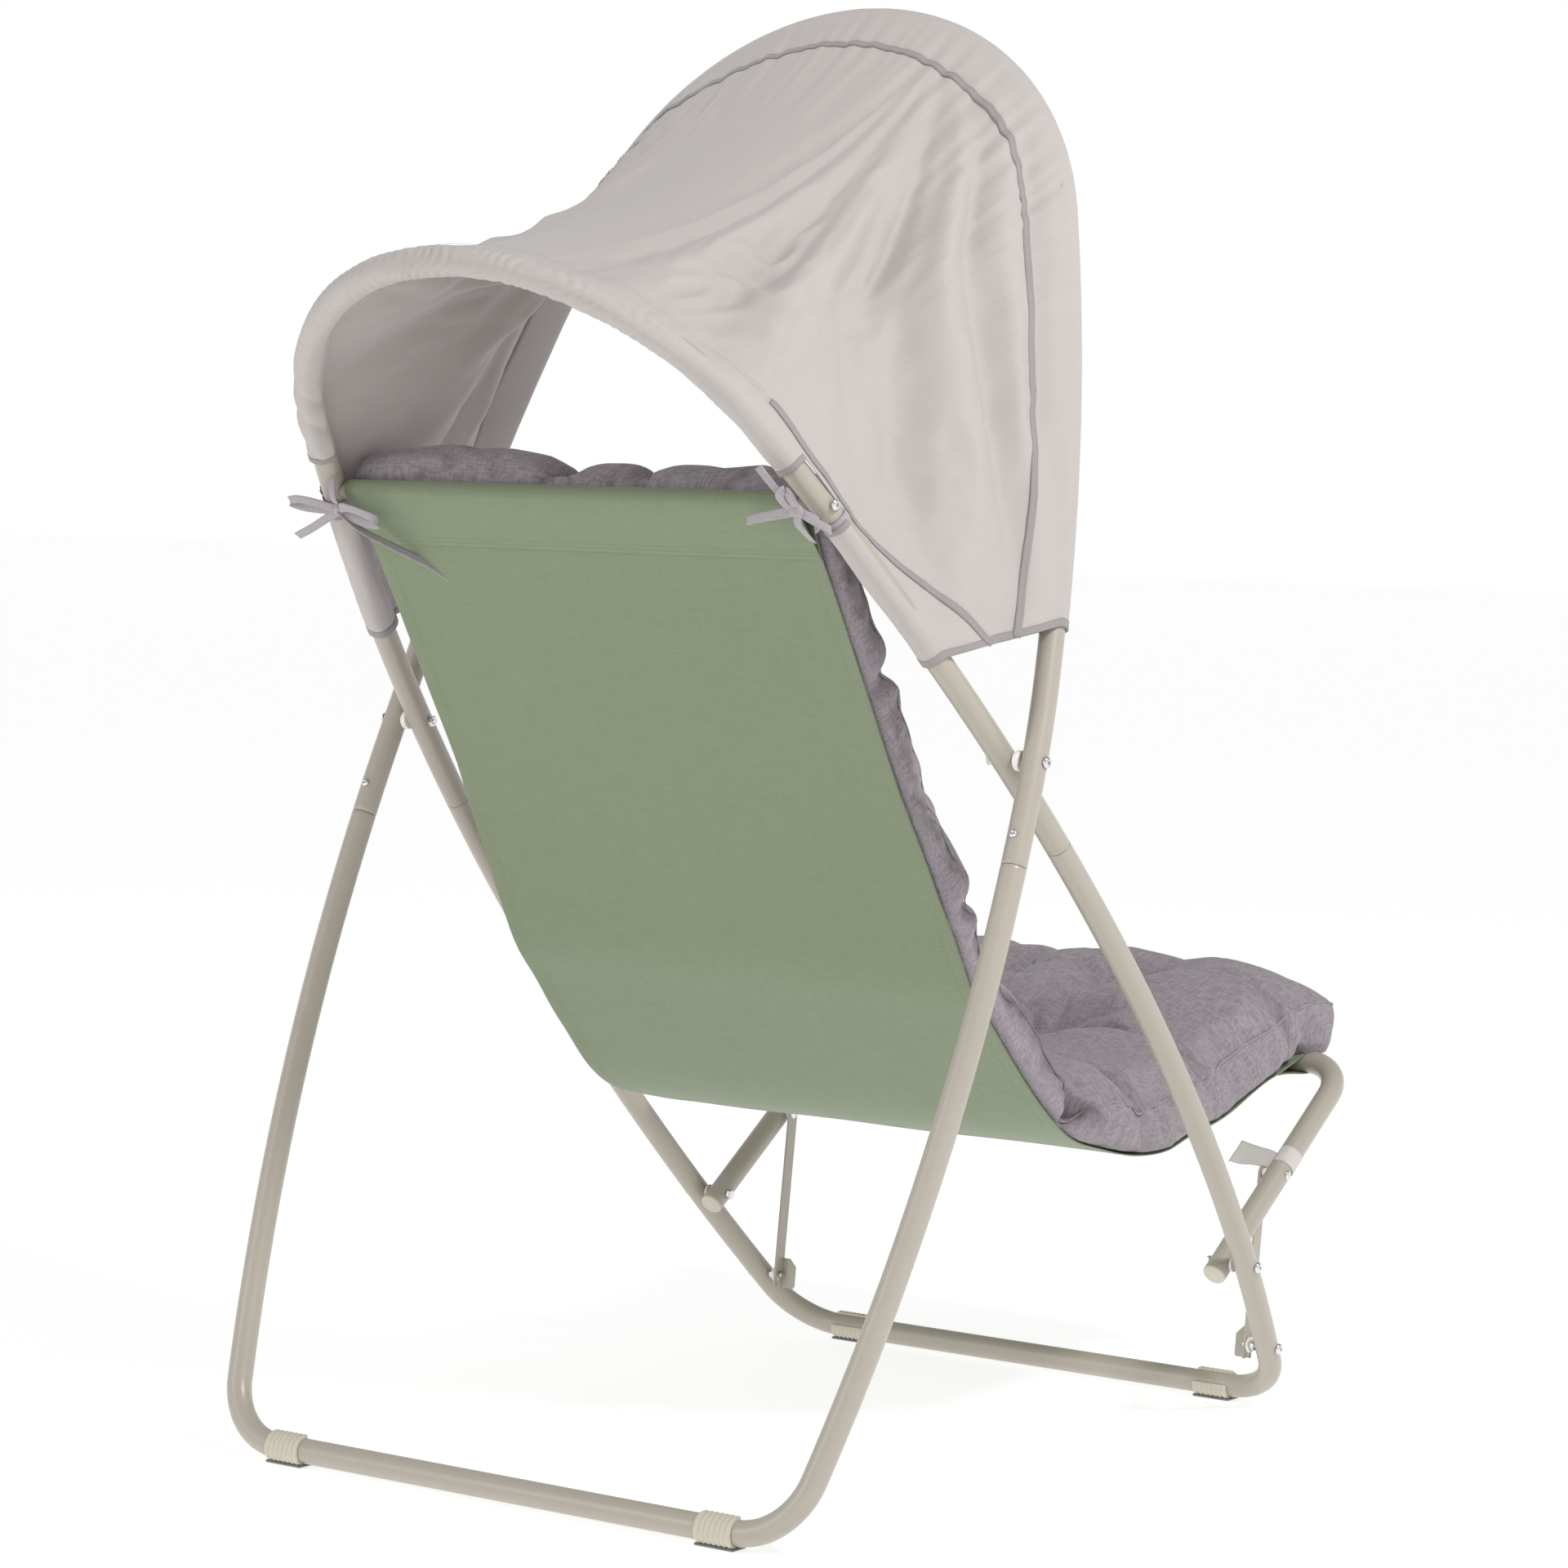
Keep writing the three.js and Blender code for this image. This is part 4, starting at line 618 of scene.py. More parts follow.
def small_parts(side, sign):
    centre = back.side(sign, TOP_BAR_RISE)
    outer = back.half(TOP_BAR_RISE) + TUBE_R + face_gap(back, TOP_BAR_RISE, 6)
    bolt(f"bar_screw_{side}", f"sling_bar_screw_{side}", centre, sign, outer, 55.0, thick=2.5)

    place = leg.side(sign, LEG_SPLICE + 30) + leg.back * (TUBE_R + 0.3)
    profile = [(0.6, AXLE), (0.6, 1.5), (2.0, 1.6)] + dome(2.2, 0, 2.3, 1.9, 1.4, 0.1, 5)
    profile += [(0, 4.1), (-0.02, 2.0), (-9, 2.0), (-9, AXLE)]
    obj = lathe(f"lock_screw_{side}", profile, ZINC, place, leg.back)
    finish_piece(obj, "leg_frame", [f"splice_screw_{side}"])

    end = seat_pivot + [sign * seat_half, 0, 0] - seat_forward * 17
    profile = [(3.3, AXLE), (3.3, 7.6), (3.0, 8.0), (2.8, 8.6), (3.1, 9.4), (3.2, 10.4), (2.7, 11.9)]
    profile += [(1.6, TUBE_R), (0.3, TUBE_R), (0.3, 10.6), (-10, 10.3), (-10, AXLE)]
    obj = lathe(f"arm_plug_{side}", profile, CREAM, end, -seat_forward)
    finish_piece(obj, "seat_frame_body", [f"seat_end_cap_{side}"])


SIDES = (("right", -1), ("left", 1))
for side, sign in SIDES:
    main_pivot(side, sign)
    lower_pivot(side, sign)
    strut_fasteners(side, sign)
    small_parts(side, sign)


# Struts


def strut(side, sign):
    """A flat bar with a hook slot at its low end, and a bent finger tab."""
    top = seat_pivot + seat_forward * STRUT_ALONG
    stud = back.at(0, back_drop(STUD_Z))
    length = float(np.linalg.norm((stud - top)[1:]))
    down = unit([0, stud[1] - top[1], stud[2] - top[2]])
    across = unit(np.cross([1, 0, 0], down))
    half, slot, tail = 8.0, 3.5, 15.0
    low = length + tail

    def on(d, a, x):
        return np.array([x, 0, 0]) + [0, top[1], top[2]] + down * d + across * a

    outline = [(-half * math.sin(t), half * math.cos(t)) for t in even(math.pi, 0, 20)]
    outline += [(low, half), (low, slot)]
    outline += [(length - slot * math.sin(t), slot * math.cos(t)) for t in even(0, math.pi, 12)]
    outline += [(low, -slot), (low, -half)]
    faces = [
        [on(d, a, sign * x) for d, a in outline] for x in (STRUT_OUTER_X, STRUT_OUTER_X - STRUT_THICK)
    ]
    plate = prism(f"strut_{side}", *faces, PAINT)

    root, tip, high, chamfer = STRUT_OUTER_X - 1.2, STRUT_OUTER_X - 20, low - 34, 9.0
    flange = [(root, low), (tip + 2, low), (tip, low - 2), (tip, high + chamfer), (tip + chamfer, high)]
    flange.append((root, high))
    faces = [[on(d, a, sign * x) for x, d in flange] for a in (-half, -half + STRUT_THICK)]
    tab = prism(f"strut_tab_{side}", *faces, PAINT)
    obj = join_objects(f"strut_{side}", [plate, tab])
    soft_edges(obj, 0.5)
    finish_piece(obj, f"strut_{side}_body", [f"seat_strut_{side}"])


for side, sign in SIDES:
    strut(side, sign)


# Clip feet

FOOT_LENGTH = 42.0
FOOT_WALL = 2.3
RIB_PITCH = FOOT_LENGTH / 7
# One rib: share of the pitch and height.
RIB = ((0.0, 0.0), (0.12, 0.05), (0.26, 0.75), (0.42, 1.1), (0.6, 1.1), (0.76, 0.75), (0.9, 0.05))


def foot(name, node, body, f, sign_x, sign_y):
    middle = f.bend_x + 5 - FOOT_LENGTH / 2
    centre = f.at(0, f.floor_rise)
    inner = TUBE_R + 0.25
    turns = [math.radians(a) for a in even(-188, 102, 44)]
    rows = []
    for start in np.arange(middle - FOOT_LENGTH / 2, middle + FOOT_LENGTH / 2 - 1, RIB_PITCH):
        rows += [(start + share * RIB_PITCH, inner + FOOT_WALL + lift) for share, lift in RIB]
    rows.append((middle + FOOT_LENGTH / 2, inner + FOOT_WALL))
    points = []
    for x, outer in rows:
        for r, order in ((outer, turns), (inner, turns[::-1])):
            for t in order:
                height = max(centre[2] + r * math.sin(t), 2.6 if r == outer else 0.4)
                points.append([sign_x * x, centre[1] + sign_y * r * math.cos(t), height])
    columns = 2 * len(turns)
    faces = grid_faces(len(rows), columns, wrap=True)
    last = (len(rows) - 1) * columns
    for i in range(len(turns) - 1):
        quad = (i, i + 1, columns - 2 - i, columns - 1 - i)
        faces += [quad, tuple(last + k for k in quad[::-1])]
    clip = make_mesh(name, points, faces, CREAM)
    modified(clip, "EDGE_SPLIT", split_angle=math.radians(50))
    finish_piece(clip, body, [node])
    w, d = (FOOT_LENGTH + 3) / 2, 11.0
    corners = ((-w, -d), (w, -d), (w, d), (-w, d))
    box = [[[sign_x * middle + x, centre[1] + y, z] for x, y in corners] for z in (2.5, 0.0)]
    sole = prism(name + "_sole", *box, SOLE)
    soft_edges(sole, 0.8)
    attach(sole, body)


for side, sign in SIDES:
    foot(f"front_clip_{side}", f"front_foot_{side}", "back_frame", back, sign, -1)
    foot(f"rear_clip_{side}", f"rear_foot_{side}", "leg_frame", leg, sign, 1)


# Cloth helpers


def at_steps(where, steps, values):
    """The values at the distances where, from their values at the distances steps."""
    return np.stack([np.interp(where, steps, column) for column in values.T], 1)


def curve_through(points, count=1600):
    """Even points along a centripetal curve through the given ones, with their total length."""
    pts = np.asarray(points, float)
    pts = np.vstack([2 * pts[0] - pts[1], pts, 2 * pts[-1] - pts[-2]])
    dense = []
    for i in range(1, len(pts) - 2):
        p = pts[i - 1 : i + 3]
        d0, d1, d2 = (max(np.linalg.norm(p[k + 1] - p[k]) ** 0.5, 1e-3) for k in range(3))
        t1 = ((p[1] - p[0]) / d0 - (p[2] - p[0]) / (d0 + d1) + (p[2] - p[1]) / d1) * d1
        t2 = ((p[2] - p[1]) / d1 - (p[3] - p[1]) / (d1 + d2) + (p[3] - p[2]) / d2) * d1
        t = np.linspace(0, 1, 80, endpoint=False)[:, None]
        c2 = -3 * p[1] + 3 * p[2] - 2 * t1 - t2
        c3 = 2 * p[1] - 2 * p[2] + t1 + t2
        dense.append(p[1] + t1 * t + c2 * t**2 + c3 * t**3)
    dense = np.vstack(dense + [pts[-2][None]])
    steps = lengths(dense)
    return at_steps(np.linspace(0, steps[-1], count), steps, dense), steps[-1]


def stitches(name, lines, normals, made, length=2.8, gap=1.3):
    """Small raised thread stitches along lines. normals gives the cloth's outer side along each."""
    half, thick, lift = length / 2, 0.42, 0.2
    points, faces = [], []
    for line, normal in zip(lines, normals):
        steps = lengths(line)
        at = np.arange(length, steps[-1], length + gap)
        places = at_steps(at, steps, line)
        outward = unit(at_steps(at, steps, np.broadcast_to(normal, line.shape)))
        for p, q, n in zip(places, at_steps(at + 0.5, steps, line), outward):
            t = unit(q - p)
            side = np.cross(t, n) * thick * 0.7
            c = p + n * lift
            b = len(points)
            points += [c - t * half, c + side, c + n * thick, c - side, c + t * half]
            faces += [(b, b + 1, b + 2), (b, b + 2, b + 3), (b + 4, b + 2, b + 1), (b + 4, b + 3, b + 2)]
    return make_mesh(name, points, faces, made)


def ribbon(name, line, width_dirs, width, made, thick=0.7):
    """A flat strap along a line of points. width_dirs gives the direction across it at each point."""
    line = np.asarray(line, float)
    across = unit(np.broadcast_to(width_dirs, line.shape))
    places = [width * share for share in (-0.5, -0.25, 0, 0.25, 0.5)]
    rows = np.stack([line + across * x for x in places], 1)
    steps = lengths(line)
    uv = np.stack([np.stack([np.full(len(line), x), steps], 1) for x in places], 1)
    faces = grid_faces(len(line), len(places))
    obj = make_mesh(name, rows.reshape(-1, 3), faces, made, uv.reshape(-1, 2))
    return modified(obj, "SOLIDIFY", thickness=thick * MM, offset=0.0)


def strip_on(name, line, normals, width, made, lift=0.8, thick=0.8):
    """A strap that lies on a surface with these normals."""
    across = np.cross(directions(line), unit(normals))
    return ribbon(name, line + unit(normals) * lift, across, width, made, thick)


def bump(distance, spread):
    return math.exp(-((distance / spread) ** 2))


def wave(x, y, seed, detail=1):
    """Smooth noise between about -1 and 1."""
    total, size = 0.0, 1.0
    for octave in range(detail):
        total += size * noise.noise(Vector((x * 2**octave, y * 2**octave, seed + 7.3 * octave)))
        size *= 0.5
    return total * 1.6


# Sling

# The sling's middle line and its inset from the frame's widest half width, from the main pivot.
SLING_LINE = [
    (172, 169), (130, 101), (89, 34), (46, -35), (-31, -165), (-74, -237), (-109, -275), (-163, -331),
    (-214, -378), (-251, -400), (-305, -415), (-385, -430), (-445, -431), (-488, -423), (-572, -408),
    (-675, -376),
]
SLING_INSETS = [
    (245, 113.5), (45, 113.5), (-30, 104.5), (-108, 99.5), (-163, 96.5), (-214, 92.5), (-385, 94.5),
    (-572, 101.5), (-825, 108.5),
]
POCKET = 62.0
HEM = 70.0
sling_points = [top_bar[1:], *(PIVOT[1:] + np.array(SLING_LINE)), front_bar[1:]]
sling_yz, sling_length = curve_through(sling_points)


def sling_at(distance):
    """Point in the sling's middle line and its direction, at a distance from the top bar."""
    held = min(max(distance, 0.0), sling_length)
    i = held / sling_length * (len(sling_yz) - 1)
    lo = min(int(i), len(sling_yz) - 2)
    p = sling_yz[lo] + (sling_yz[lo + 1] - sling_yz[lo]) * (i - lo)
    a, b = sling_yz[max(lo - 6, 0)], sling_yz[min(lo + 7, len(sling_yz) - 1)]
    t = unit(b - a)
    p = p + t * (distance - held)
    return np.array([0, p[0], p[1]]), np.array([0, t[0], t[1]])


def sling_half(y):
    rows = sorted((PIVOT[1] + a, BACK_HALF - b) for a, b in SLING_INSETS)
    return float(np.interp(y, [r[0] for r in rows], [r[1] for r in rows]))


def front_normal(t):
    return np.array([0, t[2], -t[1]])


def sling_path():
    """The sling's line with its pocket and hem wrapped round their bars, and its outer side."""
    layer, top_wrap, front_wrap = 1.35, 14, 18
    start_t, end_t = sling_at(0)[1], sling_at(sling_length)[1]
    start_n, end_n = front_normal(start_t), front_normal(end_t)
    line, outward = [], []

    def put(p, n):
        line.append(p)
        outward.append(n)

    for d in even(POCKET, top_wrap, 12):
        p, t = sling_at(d)
        n = front_normal(t)
        put(p - n * (layer + (TOP_BAR_R + 1.0 - layer) * (1 - d / POCKET) ** 1.15), -n)
    for a in even(165, 12, 20):
        out = start_n * math.cos(math.radians(a)) - start_t * math.sin(math.radians(a))
        put(top_bar + out * (TOP_BAR_R + 1.0), out)
    first = len(line) - 1
    for d in even(top_wrap, sling_length - front_wrap, 230):
        p, t = sling_at(d)
        n = front_normal(t)
        near_top = (TOP_BAR_R + 0.9) * (1 - min(d / 66, 1)) ** 1.35
        near_front = (TUBE_R + 0.9) * (1 - min((sling_length - d) / 74, 1)) ** 1.35
        put(p + n * (near_top + near_front), n)
    last = len(line) - 1
    for a in even(12, 168, 22):
        out = end_n * math.cos(math.radians(a)) + end_t * math.sin(math.radians(a))
        put(front_bar + out * (TUBE_R + 1.0), out)
    for d in even(sling_length - front_wrap, sling_length - HEM, 12):
        p, t = sling_at(d)
        n = front_normal(t)
        near = (TUBE_R + 1.0 - layer) * (1 - (sling_length - d) / HEM) ** 1.15
        put(p - n * (layer + near), -n)
    return np.array(line), np.array(outward), first, last


def make_sling():
    line, outward, first, last = sling_path()
    steps = lengths(line)
    inner = even(-0.8, 0.8, 24)
    shares = [-1, -0.994, -0.958, -0.952, -0.9] + inner + [0.9, 0.952, 0.958, 0.994, 1]
    points, uv = [], []
    for i, (p, n) in enumerate(zip(line, outward)):
        half = sling_half(p[1])
        body = first <= i < last
        middle = math.sin(math.pi * clamp((i - first) / (last - first - 1))) if body else 0.0
        for s in shares:
            rise = -0.2 if body and abs(s) > 0.955 else 0.0
            if body:
                rise += middle * (1.6 * wave(s * 1.3, steps[i] / 260, 3.1, 2) - 0.4 * (abs(s) ** 6))
                rise += middle * 0.5 * wave(s * 3.0, steps[i] / 60, 9.2) * abs(s) ** 3
            side = half + 1.1 * middle * wave(steps[i] / 90, np.sign(s) * 4.0, 5.0)
            points.append(p + [s * side, 0, 0] + n * rise)
            uv.append((s * half, steps[i]))
    obj = make_mesh("sling_cloth", points, grid_faces(len(line), len(shares)), SLING, uv)
    modified(obj, "SOLIDIFY", thickness=1.2 * MM, offset=0.0)
    middles = (line[1:, 1] + line[:-1, 1]) / 2
    area = float(np.diff(steps) @ [2 * sling_half(y) for y in middles])
    return apply_modifiers(obj), steps[-1], area


def sling_stitches():
    lines, normals = [], []
    for d in (POCKET - 10, POCKET - 4, sling_length - HEM + 12, sling_length - HEM + 6):
        p, t = sling_at(d)
        n = front_normal(t)
        half = sling_half(p[1]) - 2
        lines.append(np.array([p - n * 3.1 + [x, 0, 0] for x in even(-half, half, 60)]))
        normals.append(-n)
    for sign in (-1, 1):
        places = [sling_at(d) for d in even(66, sling_length - 74, 200)]
        outs = np.array([-front_normal(t) for _, t in places])
        ends = [[sign * (sling_half(p[1]) * 0.953 - 2), 0, 0] for p, _ in places]
        lines.append(np.array([p for p, _ in places]) + outs * 0.9 + ends)
        normals.append(outs)
    return stitches("sling_stitches", lines, normals, THREAD_GREEN)


sling, sling_cut, sling_area = make_sling()
sling_thread = sling_stitches()


# Cushion

TOP_PAST = 12.0
CUSHION_L = sling_length + TOP_PAST + 42
TUFT_ROWS = [96.0, 222.0, 354.0, 490.0, 622.0, 945.0, 1110.0, 1275.0]
PINCH = dict(zip(TUFT_ROWS, (0.15, 1.0, 0.25, 1.0, 0.3, 0.7, 0.4, 0.5)))
TUFT_X = 66.0
CREASE = 790.0


def cushion_base(d):
    s = d - TOP_PAST
    p, t = sling_at(s)
    over_top = TOP_BAR_R * bump(s / 62, 1)
    over_front = TUBE_R * bump((s - sling_length) / 62, 1)
    lift = 2.6 + over_top + over_front
    if s < 0:
        lift += TOP_BAR_R - over_top
    if s > sling_length:
        lift += TUBE_R - over_front
    return p, t, front_normal(t), lift, sling_half(p[1]) + 4


def pad_height(x, d, half, edge, puff, puff_end):
    """The pad's height: puffed between its edges, drawn in at the tufts and at the fold."""
    a = min(abs(x) / half, 1)
    flat = 1 - a**8
    dip = fold = 0.0
    for row in TUFT_ROWS:
        for side in (-1, 1):
            dx, dd = x - side * TUFT_X, d - row
            reach = math.hypot(dx, dd)
            dip += 24 * bump(reach, 26) + 13 * bump(reach, 66)
            if reach < 130:
                turn = math.atan2(dd, dx)
                rays = math.cos(9 * turn + 3 * wave(row, side, 0.3)) + 0.6 * math.cos(14 * turn + row)
                fold += (3.6 if row > CREASE else 2.6) * rays * bump(reach - 38, 34)
        dip += 9.0 * PINCH[row] * bump(d - row, 13) * a**2
    h = edge + puff * (1 - a**3.2) * puff_end - min(dip, 40) * min(1, puff_end + 0.35)
    h += fold * (1 - a**6) - 38 * bump(d - CREASE, 17) - 6 * bump(d - CREASE, 55)
    h += 2.2 * wave(x / 80, d / 80, 12.0, 3) * flat
    h += 1.6 * (0.3 - abs(wave(x / 26 + d / 90, d / 60, 17.0))) * flat
    return max(h, 8.0)


def make_cushion():
    rows = 250
    over = [math.sin(a) for a in even(-math.pi / 2, math.pi / 2, 70)]
    side_shares = (0.86, 0.7, 0.5, 0.3, 0.14)
    points = []
    seams = [[], []]
    for d in even(0, CUSHION_L, rows):
        p, t, n, lift, widest = cushion_base(d)
        to_end = min(d, CUSHION_L - d)
        round_end = math.sqrt(max(1 - (1 - min(to_end / 20, 1)) ** 2, 0))
        puff_end = 1 - (1 - min(to_end / 34, 1)) ** 3
        pinch = sum(PINCH[row] * bump(d - row, 10) for row in TUFT_ROWS)
        crease = bump(d - CREASE, 13)
        seat_part = clamp((d - CREASE) / 110)
        front_part = clamp((d - CUSHION_L + 300) / 300)
        full_h = 66.0 + 20.0 * seat_part + 14.0 * front_part
        edge_h = 40.0 + 9.0 * seat_part + 8.0 * front_part
        half = widest - 22 * (1 - round_end) - 6.5 * pinch - 7 * crease + 2.2 * wave(d / 48, 2.0, 1.7, 2)
        bulge = 5.5 * (1 - 0.8 * min(pinch + crease, 1))
        edge = edge_h * (0.55 + 0.45 * round_end) - 7 * pinch - 10 * crease
        edge += 1.5 * wave(d / 35, 8.0, 4.4, 2)

        def side(share, height):
            return half + bulge * math.sin(math.pi * share) ** 0.7, height * share

        puff = full_h - edge_h
        ring = [(s * half, pad_height(s * half, d, half, edge, puff, puff_end)) for s in over]
        left, right = ring[-1][1], ring[0][1]
        ring += [side(share, left) for share in side_shares]
        ring += [(s * (half - 2), 0.0) for s in even(1, -1, 24)]
        ring += [(-x, h) for x, h in (side(share, right) for share in side_shares[::-1])]
        middle = lift + 0.5 * edge_h
        drawn = 0.45 + 0.55 * round_end
        lobe = max(1 - d / 60, 0)
        body = []
        for x, h in ring:
            height = lift + h if round_end == 1 else middle + (lift + h - middle) * drawn
            body.append(p + [x, 0, 0] + n * height - t * top_lobe(x) * lobe)
        points += body
        if 14 < d < CUSHION_L - 14:
            seams[0].append(body[0])
            seams[1].append(body[len(over) - 1])
    pad = make_mesh("cushion_pad", points, closed_faces(rows + 1, len(ring)), CUSHION)
    return pad, [np.array(line) for line in seams]


def top_lobe(x):
    """How far the pad's top end stands out: a tall lobe on the left, dips beside the middle."""
    dips = 17 * bump(x - 34, 15) + 14 * bump(x + 58, 15) + 5 * bump(x + 150, 90)
    return 16 * bump(x - 215, 130) - dips - 9


def read_points(mesh, kind="vertices", field="co"):
    values = np.zeros(len(getattr(mesh, kind)) * 3)
    getattr(mesh, kind).foreach_get(field, values)
    return values.reshape(-1, 3)


def along_sling(points):
    """For points in mm: the nearest distance along the sling's line, and the height over it."""
    where, heights = [], []
    line = sling_yz[::4]
    ahead = unit(np.gradient(line, axis=0))
    for block in np.array_split(points[:, 1:], max(len(points) // 4000, 1)):
        gaps = block[:, None] - line[None]
        near = np.argmin((gaps**2).sum(2), axis=1)
        rows = np.arange(len(block))
        gap, t = gaps[rows, near], ahead[near]
        where.append(near * sling_length / (len(line) - 1) + (gap * t).sum(1) + TOP_PAST)
        heights.append(gap[:, 0] * t[:, 1] - gap[:, 1] * t[:, 0])
    return np.concatenate(where), np.concatenate(heights)


def inflate(obj):
    """Blow the pad up as cloth, held at its tufts, its fold and its underside. No point moves more
    than the cap, in mm."""
    cap, frames = 20.0, 20
    underside, top_side, tuft_r = 12, 22, 9
    fold_half, fold_width = 5, 215
    modified(obj, "REMESH", mode="VOXEL", voxel_size=0.0062)
    apply_modifiers(obj)
    rest = read_points(obj.data) / MM
    d, h = along_sling(rest)
    held = h < underside
    top = h > top_side
    for row in TUFT_ROWS:
        held |= top & (np.hypot(abs(rest[:, 0]) - TUFT_X, d - row) < tuft_r)
    held |= (abs(d - CREASE) < fold_half) & (abs(rest[:, 0]) < fold_width)
    group = obj.vertex_groups.new(name="held")
    group.add([int(i) for i in np.flatnonzero(held)], 1.0, "ADD")
    cloth = obj.modifiers.new("Cloth", "CLOTH")
    values = cloth.settings
    values.quality = 4
    values.mass = 0.3
    values.tension_stiffness = values.compression_stiffness = 14
    values.shear_stiffness = 4
    values.bending_stiffness = 0.25
    values.vertex_group_mass = "held"
    values.shrink_min = -0.07
    values.use_pressure = True
    values.uniform_pressure_force = 4.5
    values.effector_weights.gravity = 0
    for step in range(frames):
        bpy.context.scene.frame_set(step + 1)
    graph = bpy.context.evaluated_depsgraph_get()
    blown = bpy.data.meshes.new_from_object(obj.evaluated_get(graph))
    moved = read_points(blown) / MM - rest
    size = np.linalg.norm(moved, axis=1, keepdims=True)
    moved *= np.minimum(1, cap / np.maximum(size, 1e-6))
    obj.modifiers.clear()
    obj.vertex_groups.clear()
    bpy.context.scene.frame_set(1)
    obj.data.vertices.foreach_set("co", ((rest + moved) * MM).ravel())
    obj.data.update()
    return rest, rest + moved


def finish_cushion(obj, seams):
    rest, shape = inflate(obj)
    normals = read_points(obj.data, "vertex_normals", "vector")
    tree = kdtree.KDTree(len(rest))
    for i, p in enumerate(rest):
        tree.insert(p, i)
    tree.balance()
    lines = []
    for seam in seams:
        near = [tree.find(p)[1] for p in seam]
        line, out = shape[near], normals[near]
        for _ in range(3):
            line[1:-1] = (line[:-2] + 2 * line[1:-1] + line[2:]) / 4
            out[1:-1] = (out[:-2] + 2 * out[1:-1] + out[2:]) / 4
        lines.append((line, unit(out)))
    modified(obj, "SUBSURF", levels=1, render_levels=1)
    apply_modifiers(obj)
    mesh = obj.data
    mesh.polygons.foreach_set("use_smooth", [True] * len(mesh.polygons))
    points = read_points(mesh) / MM
    d, h = along_sling(points)
    out = np.clip(abs(read_points(mesh, "vertex_normals", "vector")[:, 0]) * 2.0 - 0.9, 0, 1)
    out = out * out * (3 - 2 * out)
    beyond = np.maximum(np.maximum(24 - d, d - CUSHION_L + 24) / 24, 0) * (40 - h)
    put_uv(mesh, np.stack([points[:, 0] + np.sign(points[:, 0]) * out * (40 - h), d + beyond], 1))
    return [
        strip_on(f"cushion_seam_{k}", line, out, 2.6, CUSHION, lift=0.3, thick=1.3)
        for k, (line, out) in enumerate(lines)
    ]


cushion, cushion_edges = make_cushion()
cushion_seams = finish_cushion(cushion, cushion_edges)


# Canopy

FRONT_SEAM = 57.0
REAR_BINDING_TOP = 436.0
SAG = 70.0
SLEEVE_R = 14.4
REAR_SEAM_RISES = [HEM_RISE, 300, 380, 470, 2000]
REAR_SEAM_WIDTHS = [60, 17, 16, 25, 27]
WEB_STEPS = 66
# Long folds that fan out from the top of the front seam: direction, width (both in radians), height.
FAN = [
    (-0.62, 0.10, 10.0), (-0.36, 0.07, -12.0), (-0.12, 0.06, 12.0), (0.05, 0.05, -13.0),
    (0.24, 0.07, 14.0), (0.45, 0.08, -12.0), (0.66, 0.08, 12.0), (0.95, 0.13, -30.0),
    (1.15, 0.06, 14.0), (1.29, 0.05, -11.0), (1.41, 0.05, 10.0), (1.54, 0.05, -10.0),
]


def hoop_rows(f):
    half = [(f.half(rise), rise) for rise in even(HEM_RISE, f.arch_start, 84)]
    rows = both_sides(half + arc(0, f.arch_rise, f.arch_r, f.arch_turn, math.pi / 2, 140))
    return np.array([f.at(x, rise) for x, rise in rows]), np.array([rise for _, rise in rows])


rear_hoop, rear_rises = hoop_rows(back)
front_hoop, _ = hoop_rows(leg)
LAST = len(rear_hoop) - 1


def fan_folds(turn, reach, seed):
    bend = turn + 0.10 * wave(reach / 260, turn * 1.5, seed + 40)
    folds = sum(height * bump(bend - at, width) for at, width, height in FAN)
    return folds + 4.5 * wave(turn * 13, reach / 300, seed + 50)


def web_folds(share, s):
    """How far the web stands out at a share of its length and of its width: folds, then gathers."""
    low = max(share, 1 - share)
    seed = 1.0 if share > 0.5 else 4.0
    along, down = (low - 0.60) * 1900, (0.97 - s) * 520
    reach, turn = math.hypot(along, down), math.atan2(along, down)
    calm = 0.06 + 0.94 * clamp((low - 0.555) / 0.13)
    w = fan_folds(turn, reach, seed) * min(reach / 330, 1) * calm
    w += 9.0 * calm * wave(low * 7, s * 1.5, seed, 2)
    crumple = 0.12 + 0.22 * calm + 1.3 * bump(low - 0.68, 0.05) * bump(s - 0.33, 0.16)
    w += 11.0 * crumple * (0.25 - abs(wave(low * 34 + 5 * s, s * 9 - low * 8, 33.0 + seed)))
    gather = 3.0 * wave(share * 74, s * 3.0, 6.0) * bump(s, 0.10)
    gather += 4.4 * wave(share * 88, s * 2, 8.0) * bump(1 - s, 0.2)
    loose = math.sin(math.pi * clamp(s)) ** 0.6
    edge = min(min(share, 1 - share) * 9, 1)
    return (w + gather) * loose * (0.2 + 0.8 * edge)


def rear_sleeve_radius(share, a):
    """The rear sleeve's radius: ruffles on the arch, and a twisted curl near the left end."""
    ruffle = 0.9 * wave(share * 120, 0.0, 2.2) + 0.5 * wave(share * 260, 3.0, 8.2)
    crown = bump(share - 0.56, 0.17) * (0.55 + 0.45 * wave(share * 33, a / 60, 7.0))
    phase = share * 290 + a / 48 + 3.4 * wave(share * 21, a / 90, 3.0)
    curl = abs(math.sin(math.radians(a) + share * 95)) ** 0.7
    pleat = 1 + crown * (0.24 * abs(math.sin(phase)) - 0.14) + 0.012 * ruffle
    pleat += bump(share - 0.195, 0.05) * (0.3 * curl - 0.16) + 0.06 * wave(share * 24, a / 45, 6.0)
    return SLEEVE_R * pleat


